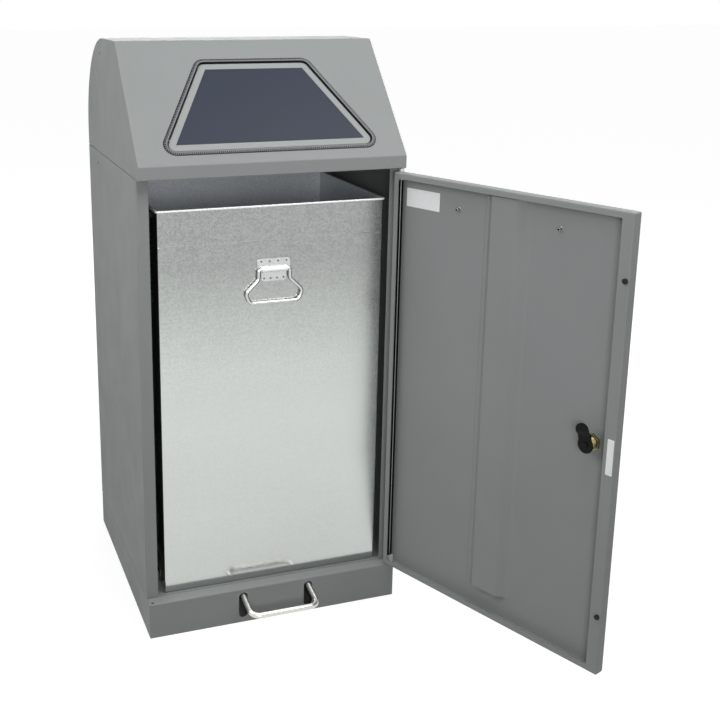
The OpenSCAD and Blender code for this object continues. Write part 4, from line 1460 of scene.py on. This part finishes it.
@dataclass
class Door:
    """The door: a folded pan, its hat stiffener and the small parts on it."""

    half: float = 0.226
    front: float = FACE_Y
    rim_y: float = -0.212
    low: float = 0.0665
    high: float = 0.788
    sheet: float = SHEET
    bend: float = 0.0022
    rim_free: float = 0.019
    rim_hinge: float = 0.010
    rim_end: float = 0.010
    lock: Pair = LOCK_AT
    lock_hole: float = 0.00952
    pin_hole: float = 0.00255
    soft: float = 0.0007
    stiff_x: float = 0.0
    stud_x: float = 0.0972
    stud_z: float = 0.742
    stiff_z: Pair = (0.1085, 0.776)
    stiff_face: float = 0.024
    stiff_foot: float = 0.035
    stiff_lip: float = 0.045
    stiff_taper: float = 0.005
    stiff_h: float = 0.011
    strip_x: float = 0.219
    strip_z: Pair = (0.081, 0.7735)
    strip_play: float = 0.0001
    strip_bead: float = 0.0013
    strip_bead_y: float = -0.222
    swing: Swing = field(default_factory=Swing)

    def build(self) -> None:
        """Builds and dresses the door."""
        self.build_pan()
        self.build_stiffener()
        self.build_studs()
        self.build_strip()
        dress(RUBBER_AND_PAINTED_SHADE, "door_buffers")
        dress(STICKER, "door_labels")
        dress(NYLON, "door_pivot_blocks", edge=FOLD_EDGE)

    def ring(self, insets: Triple, y: float, radius: float) -> list[Vector]:
        """A ring of the pan at one depth.

        Args:
            insets: Distance from the free, the hinge and the two end edges.
            y: The ring's depth.
            radius: Its corner radius.

        Returns:
            The ring's points.
        """
        free, hinge, end = insets
        flat = rectangle(-self.half + free, self.half - hinge, self.low + end,
                         self.high - end, radius, 5)
        return [Vector((p.x, y, p.y)) for p in flat]

    def build_pan(self) -> None:
        """The pan with its four bent sides and the rear flanges."""
        r, t, soft = self.bend, self.sheet, self.soft
        rims = (self.rim_free, self.rim_hinge, self.rim_end)
        turns = [(r - r * sin, self.front + r - r * cos) for sin, cos in quarter(5)]
        turns += [(r - r * cos, self.rim_y - r + r * sin) for sin, cos in quarter(5)]
        rings = [self.ring((d,) * 3, y, max(r - d, 0.0006)) for d, y in turns]
        inner, lip, sharp = (t,) * 3, (t + soft,) * 3, LEAST_RADIUS
        rings += [self.ring(insets, y, radius) for insets, y, radius in (
            (rims, self.rim_y, sharp), (rims, self.rim_y - t, sharp), (lip, self.rim_y - t, sharp),
            (inner, self.rim_y - t - soft, soft), (inner, self.front + t + soft, soft),
            (lip, self.front + t, sharp))]
        lock = Vector((self.lock[0], self.front, self.lock[1]))
        cutters = [drill(lock, self.lock_hole, -THROUGH, 0.006, INWARD, 48)]
        cutters += [drill(Vector((*self.swing.pivot, level)), self.pin_hole, -0.004, 0.004)
                    for level in (self.low, self.high)]
        pan = cut(loft("door_folded_pan", rings), *cutters)
        settle(self.swing.turn(pan), Body.DOOR, Slot.BODY_PAINT, BODY_PAINT, "door_pan")

    def build_stiffener(self) -> None:
        """The hat section that stiffens the door's skin."""
        lip, foot, face = self.stiff_lip, self.stiff_foot, self.stiff_face
        h, t, taper = self.stiff_h, self.sheet, self.stiff_lip - self.stiff_taper
        corners = [(-lip, 0), (-taper, t), (-foot, t), (-face, h), (face, h), (foot, t),
                   (taper, t), (lip, 0), (foot - t, 0), (face - t, h - t), (t - face, h - t),
                   (t - foot, 0)]
        radii = [0, 0.004, 0.003, 0.003, 0.003, 0.003, 0.004, 0, 0, 0.0015, 0.0015, 0]
        skin = self.front + t
        outline = [Vector((self.stiff_x + p.x, skin + p.y, 0)) for p in fillet(corners, radii, 6)]
        hat = prism("door_hat_section", outline, *self.stiff_z, upright)
        settle(self.swing.turn(hat), Body.DOOR, Slot.BODY_PAINT, BODY_PAINT, "door_stiffener")

    def build_studs(self) -> None:
        """Two short weld studs near the door's top."""
        turned = [(0.0, 0.0034), (0.0004, 0.0034), (0.0006, 0.0029), (0.0052, 0.0029),
                  (0.0058, 0.0025),
                  (0.0060, 0.0018), (0.0056, 0.0014), (0.0030, 0.0013)]
        sides, rim = 24, 5

        def finish_of(face: bpy.types.MeshPolygon) -> int:
            """1 in the stud's hollow and on its ends, painted black as shade, 0 on its wall."""
            ring = min(face.vertices) % (sides * len(turned)) // sides
            return int(ring >= rim or len(face.vertices) > 4)

        studs = merge("door_weld_studs", [
            lathe("stud", turned, Vector((x, self.front + self.sheet, self.stud_z)), INWARD, sides)
            for x in (self.stud_x, -self.stud_x)])
        studs = paint_faces(studs, finish_of, STUD_STEEL, BLACK_STEEL_AND_HOLLOW_SHADE)
        settle(self.swing.turn(studs), Body.DOOR, Slot.STAINLESS, STUD_STEEL,
               "door_studs", angle=30)

    def build_strip(self) -> None:
        """The black rubber strip in the hinge fold, its black partly painted shade, with a painted
        highlight on its bead.
        """
        x, foot = self.strip_x, self.front + self.sheet
        top = self.rim_y - self.sheet - self.strip_play
        r, y = self.strip_bead, self.strip_bead_y
        section = [(x, foot), (x, y - r)]
        section += [(x - r * math.sin(a), y - r * math.cos(a))
                    for a in (i * math.pi / 8 for i in range(1, 8))]
        section += [(x, y + r), (x, top), (x + self.sheet, top), (x + self.sheet, foot)]

        def finish_of(face: bpy.types.MeshPolygon) -> int:
            """1 on the bead's front, painted as a highlight, 0 elsewhere."""
            spots = [v % len(section) for v in face.vertices]
            return int(len(spots) == 4 and min(spots) >= 3 and max(spots) <= 7)

        strip = prism("door_hinge_strip", [Vector((a, b, 0)) for a, b in section],
                      *self.strip_z, upright)
        strip = paint_faces(strip, finish_of, SEAL_BLACK_AND_FOLD_SHADE, SEAL_PAINTED_HIGHLIGHT)
        settle(self.swing.turn(strip), Body.DOOR, Slot.RUBBER_AND_PAINTED_SHADE, SEAL_BLACK_AND_FOLD_SHADE,
               "door_hinge_profile", angle=50)


@dataclass
class CamLock:
    """The cam lock in the door: housing, nut, cam and screw."""

    x: float = LOCK_AT[0]
    z: float = LOCK_AT[1]
    lean: float = 10.0
    front: float = FACE_Y
    cam_y: float = -0.211
    cam_t: float = 0.0025
    hub: float = 0.013
    arm_half: float = 0.011
    arm_len: float = 0.035
    step: float = 0.0048
    step_at: float = 0.0148
    step_len: float = 0.0075
    cam_pitch: float = 0.0023
    thread: float = 0.001
    crest_r: float = 0.0095
    root_r: float = 0.0091
    plug_bore: float = 0.00605
    skin: float = SHEET
    nut_bore: float = 0.00955
    nut_reach: float = 0.0139
    nut_h: float = 0.0045
    nut_edge: float = 0.0005
    screw_reach: float = 0.005
    screw_h: float = 0.0024
    screw_edge: float = 0.0004
    swing: Swing = field(default_factory=Swing)

    def build(self) -> None:
        """Builds and dresses the lock."""
        self.build_housing()
        self.build_nut()
        self.build_cam()
        self.build_screw()
        dress(STEEL, "lock_plug")

    def axis_at(self, y: float) -> Vector:
        """A point on the lock's axis."""
        return Vector((self.x, y, self.z))

    def build_housing(self) -> None:
        """The barrel with its outer flange and its thread."""
        turned = [(-0.0020, 0.0098), (-0.0020, 0.0106), (-0.0015, 0.0116), (-0.0006, 0.0120),
                  (0.0, 0.0120), (0.0, self.crest_r)]
        for k in range(13):
            turned += [(0.0018 + k * self.thread, self.crest_r),
                       (0.0023 + k * self.thread, self.root_r)]
        turned += [(0.0150, self.root_r)]
        housing = cut(lathe("lock_barrel", turned, self.axis_at(self.front), INWARD, 48),
                      drill(self.axis_at(self.front), self.plug_bore, -0.003, 0.018, INWARD, 48))
        settle(self.swing.turn(housing), Body.DOOR, Slot.YELLOW_ZINC, CHROMATED,
               "lock_housing", angle=20)

    def hexagon(self, reach: float, first: float) -> list[Vector]:
        """The corners of a hexagon round the lock's axis, from the angle of the first one."""
        return [Vector((self.x + reach * math.cos(a), self.z + reach * math.sin(a), 0))
                for a in (first + k * math.pi / 3 for k in range(6))]

    def build_nut(self) -> None:
        """The hexagon nut with its corners turned off."""
        base, corners = self.front + self.skin, self.hexagon(self.nut_reach, math.pi / 6)
        nut = cut(prism("lock_hex_nut", corners, base, base + self.nut_h, inwards),
                  drill(self.axis_at(base), self.nut_bore, -0.002, 0.008, INWARD, 48))
        soften(nut, self.nut_edge)
        settle(self.swing.turn(nut), Body.DOOR, Slot.YELLOW_ZINC, CHROMATED, "lock_nut")

    def build_cam(self) -> None:
        """The cam: a round hub and an arm that steps back to hook behind the stile."""
        hub, half, length, t = self.hub, self.arm_half, self.arm_len, self.cam_t
        levels = [-hub * math.cos(i * math.pi / 24) for i in range(1, 13)]
        levels += [self.cam_pitch * i for i in range(1, 10)]
        levels += [length - half + half * math.sin(i * math.pi / 20) for i in range(10)]
        about = Matrix.Rotation(math.radians(self.lean), 3, "Y")
        rings = []
        for v in levels:
            square = max(half ** 2 - (v - length + half) ** 2, 0.0)
            arm = half if v <= length - half else math.sqrt(square)
            disc = math.sqrt(max(hub ** 2 - v ** 2, 0.0))
            w = disc if v <= 0 else max(arm, disc)
            share = min(max((v - self.step_at) / self.step_len, 0.0), 1.0)
            y = self.cam_y + self.step * (3 * share ** 2 - 2 * share ** 3)
            e = min(0.0005, w * 0.4)
            flat = [(-w, e), (-w + e, 0), (w - e, 0), (w, e), (w, t - e), (w - e, t), (-w + e, t),
                    (-w, t - e)]
            rings.append([self.axis_at(y + b) + about @ Vector((a, 0.0, v)) for a, b in flat])
        cam = loft("lock_cam_blade", rings)
        settle(self.swing.turn(cam), Body.LOCK, Slot.BLACK_STEEL, BLACK_STEEL_AND_HOLLOW_SHADE, "lock_cam", angle=50)

    def build_screw(self) -> None:
        """The hexagon screw that holds the cam."""
        base, corners = self.cam_y + self.cam_t, self.hexagon(self.screw_reach, 0.0)
        screw = prism("lock_cam_screw", corners, base, base + self.screw_h, inwards)
        soften(screw, self.screw_edge)
        settle(self.swing.turn(screw), Body.LOCK, Slot.BLACK_STEEL, BLACK_STEEL_AND_HOLLOW_SHADE, "lock_screw")


@dataclass
class Studio:
    """A pale floor, soft lamps and the camera that matches the photograph."""

    place: Triple = (-0.5631, -1.8800, 1.0814)
    yaw: float = 0.3313
    pitch: float = 0.2467
    roll: float = 0.0049
    lens: float = 54.785
    shift: Pair = (0.1111, -0.1300)
    ambient: float = 0.04
    floor_size: float = 30.0
    floor_z: float = -0.0005
    floor_tone: float = 0.35
    covered: float = 0.222
    glow_near: Pair = (0.9, 0.80)
    glow_far: Pair = (2.2, 0.97)
    lamps: tuple[tuple[str, Triple, Triple, float, float], ...] = (
        ("top", (-0.15, -0.85, 1.85), (0.0, -0.10, 0.70), 0.8, 4.6),
        ("upper_right", (0.60, -0.90, 1.90), (0.0, -0.10, 0.70), 0.8, 13.0),
        ("left", (-1.30, -0.30, 1.50), (-0.10, 0.0, 0.60), 0.9, 12.5),
        ("front", (-0.45, -2.30, 0.95), (0.0, -0.10, 0.60), 0.7, 16.0),
        ("back", (0.50, 2.60, 1.70), (0.0, 0.10, 0.50), 1.6, 26.0),
        ("right", (2.60, 0.50, 1.70), (0.20, -0.10, 0.50), 1.6, 26.0),
    )

    def build(self) -> None:
        """Sets up floor, world, lamps and camera."""
        self.build_floor()
        self.build_world()
        for name, place, aim, size, power in self.lamps:
            self.lamp(name, place, aim, size, power)
        self.build_camera()
        bpy.context.scene.view_settings.view_transform = "Standard"

    @staticmethod
    def seen(nodes: Nodes) -> Socket:
        """A value of 1 on rays from the camera, in mirrors and through glass."""
        camera, glossy, clear = (nodes.add("LightPath", ray, {})
                                 for ray in ("Is Camera Ray", "Is Glossy Ray",
                                             "Is Transmission Ray"))
        return nodes.math("MAXIMUM", nodes.math("MAXIMUM", camera, glossy), clear)

    def build_floor(self) -> None:
        """A wide plain floor that shows white and keeps the object's shadow."""
        work = bmesh.new()
        bmesh.ops.create_grid(work, x_segments=8, y_segments=8, size=self.floor_size)
        floor = from_work("studio_floor", work)
        floor.location.z = self.floor_z
        shades = Shades("studio_floor")
        away = shades.add("VectorMath", "Value", {0: shades.place}, operation="LENGTH")
        seen_outside = shades.math("MULTIPLY", self.seen(shades),
                                   shades.math("GREATER_THAN", away, self.covered))
        strength = shades.math("MULTIPLY", seen_outside,
                               shades.spread(away, self.glow_near, self.glow_far))
        matt = shades.add("BsdfDiffuse", "BSDF", {"Color": (*[self.floor_tone] * 3, 1.0)})
        glow = shades.add("Emission", "Emission",
                          {"Color": (1.0, 1.0, 1.0, 1.0), "Strength": strength})
        shades.close("Material", shades.add("AddShader", "Shader", {0: matt, 1: glow}))
        floor.data.materials.append(shades.material)

    def build_world(self) -> None:
        """An even studio: soft light for surfaces, white where it is seen."""
        world = bpy.data.worlds.new("studio")
        bpy.context.scene.world = world
        world.use_nodes = True
        nodes = Nodes(world.node_tree)
        soft, white = (nodes.add("Background", "Background",
                                 {"Color": colour, "Strength": strength})
                       for colour, strength in (((0.96, 0.98, 1.0, 1.0), self.ambient),
                                                ((1.0, 1.0, 1.0, 1.0), 1.0)))
        nodes.close("World",
                    nodes.add("MixShader", "Shader", {0: self.seen(nodes), 1: soft, 2: white}))

    @staticmethod
    def lamp(name: str, place: Sequence[float], aim: Sequence[float], size: float,
             power: float) -> None:
        """A soft square lamp.

        Args:
            name: The lamp's name.
            place: Where it hangs.
            aim: The point that it faces.
            size: Its width.
            power: Its power in watts.
        """
        data = bpy.data.lights.new(name, "AREA")
        data.shape = "SQUARE"
        data.size = size
        data.energy = power
        lamp = bpy.data.objects.new(name, data)
        lamp.location = place
        lamp.rotation_euler = (Vector(aim) - Vector(place)).to_track_quat("-Z", "Y").to_euler()
        bpy.context.scene.collection.objects.link(lamp)

    def build_camera(self) -> None:
        """The camera, from the fit of the photograph's edges."""
        data = bpy.data.cameras.new("camera")
        data.sensor_width = 36.0
        data.lens = self.lens
        data.shift_x, data.shift_y = self.shift
        data.clip_end = 200.0
        camera = bpy.data.objects.new("camera", data)
        level = math.cos(self.pitch)
        forward = Vector((math.sin(self.yaw) * level, math.cos(self.yaw) * level,
                          -math.sin(self.pitch)))
        right = Vector((math.cos(self.yaw), -math.sin(self.yaw), 0.0))
        up = right.cross(forward)
        across = right * math.cos(self.roll) + up * math.sin(self.roll)
        above = up * math.cos(self.roll) - right * math.sin(self.roll)
        turn = Matrix((across, above, -forward)).transposed().to_4x4()
        camera.matrix_world = Matrix.Translation(Vector(self.place)) @ turn
        bpy.context.scene.collection.objects.link(camera)
        bpy.context.scene.camera = camera


def main() -> None:
    """Builds the sub-assemblies in order, then the studio."""
    logging.basicConfig(level=logging.INFO, format="%(name)s: %(message)s")
    assemblies = (Cabinet(), Hood(), Flap(), Pedal(), Container(), CarryHandle(), Door(), CamLock())
    for assembly in assemblies:
        log.info("building %s", type(assembly).__name__)
        assembly.build()
    Studio().build()


if __name__ == "__main__":
    main()
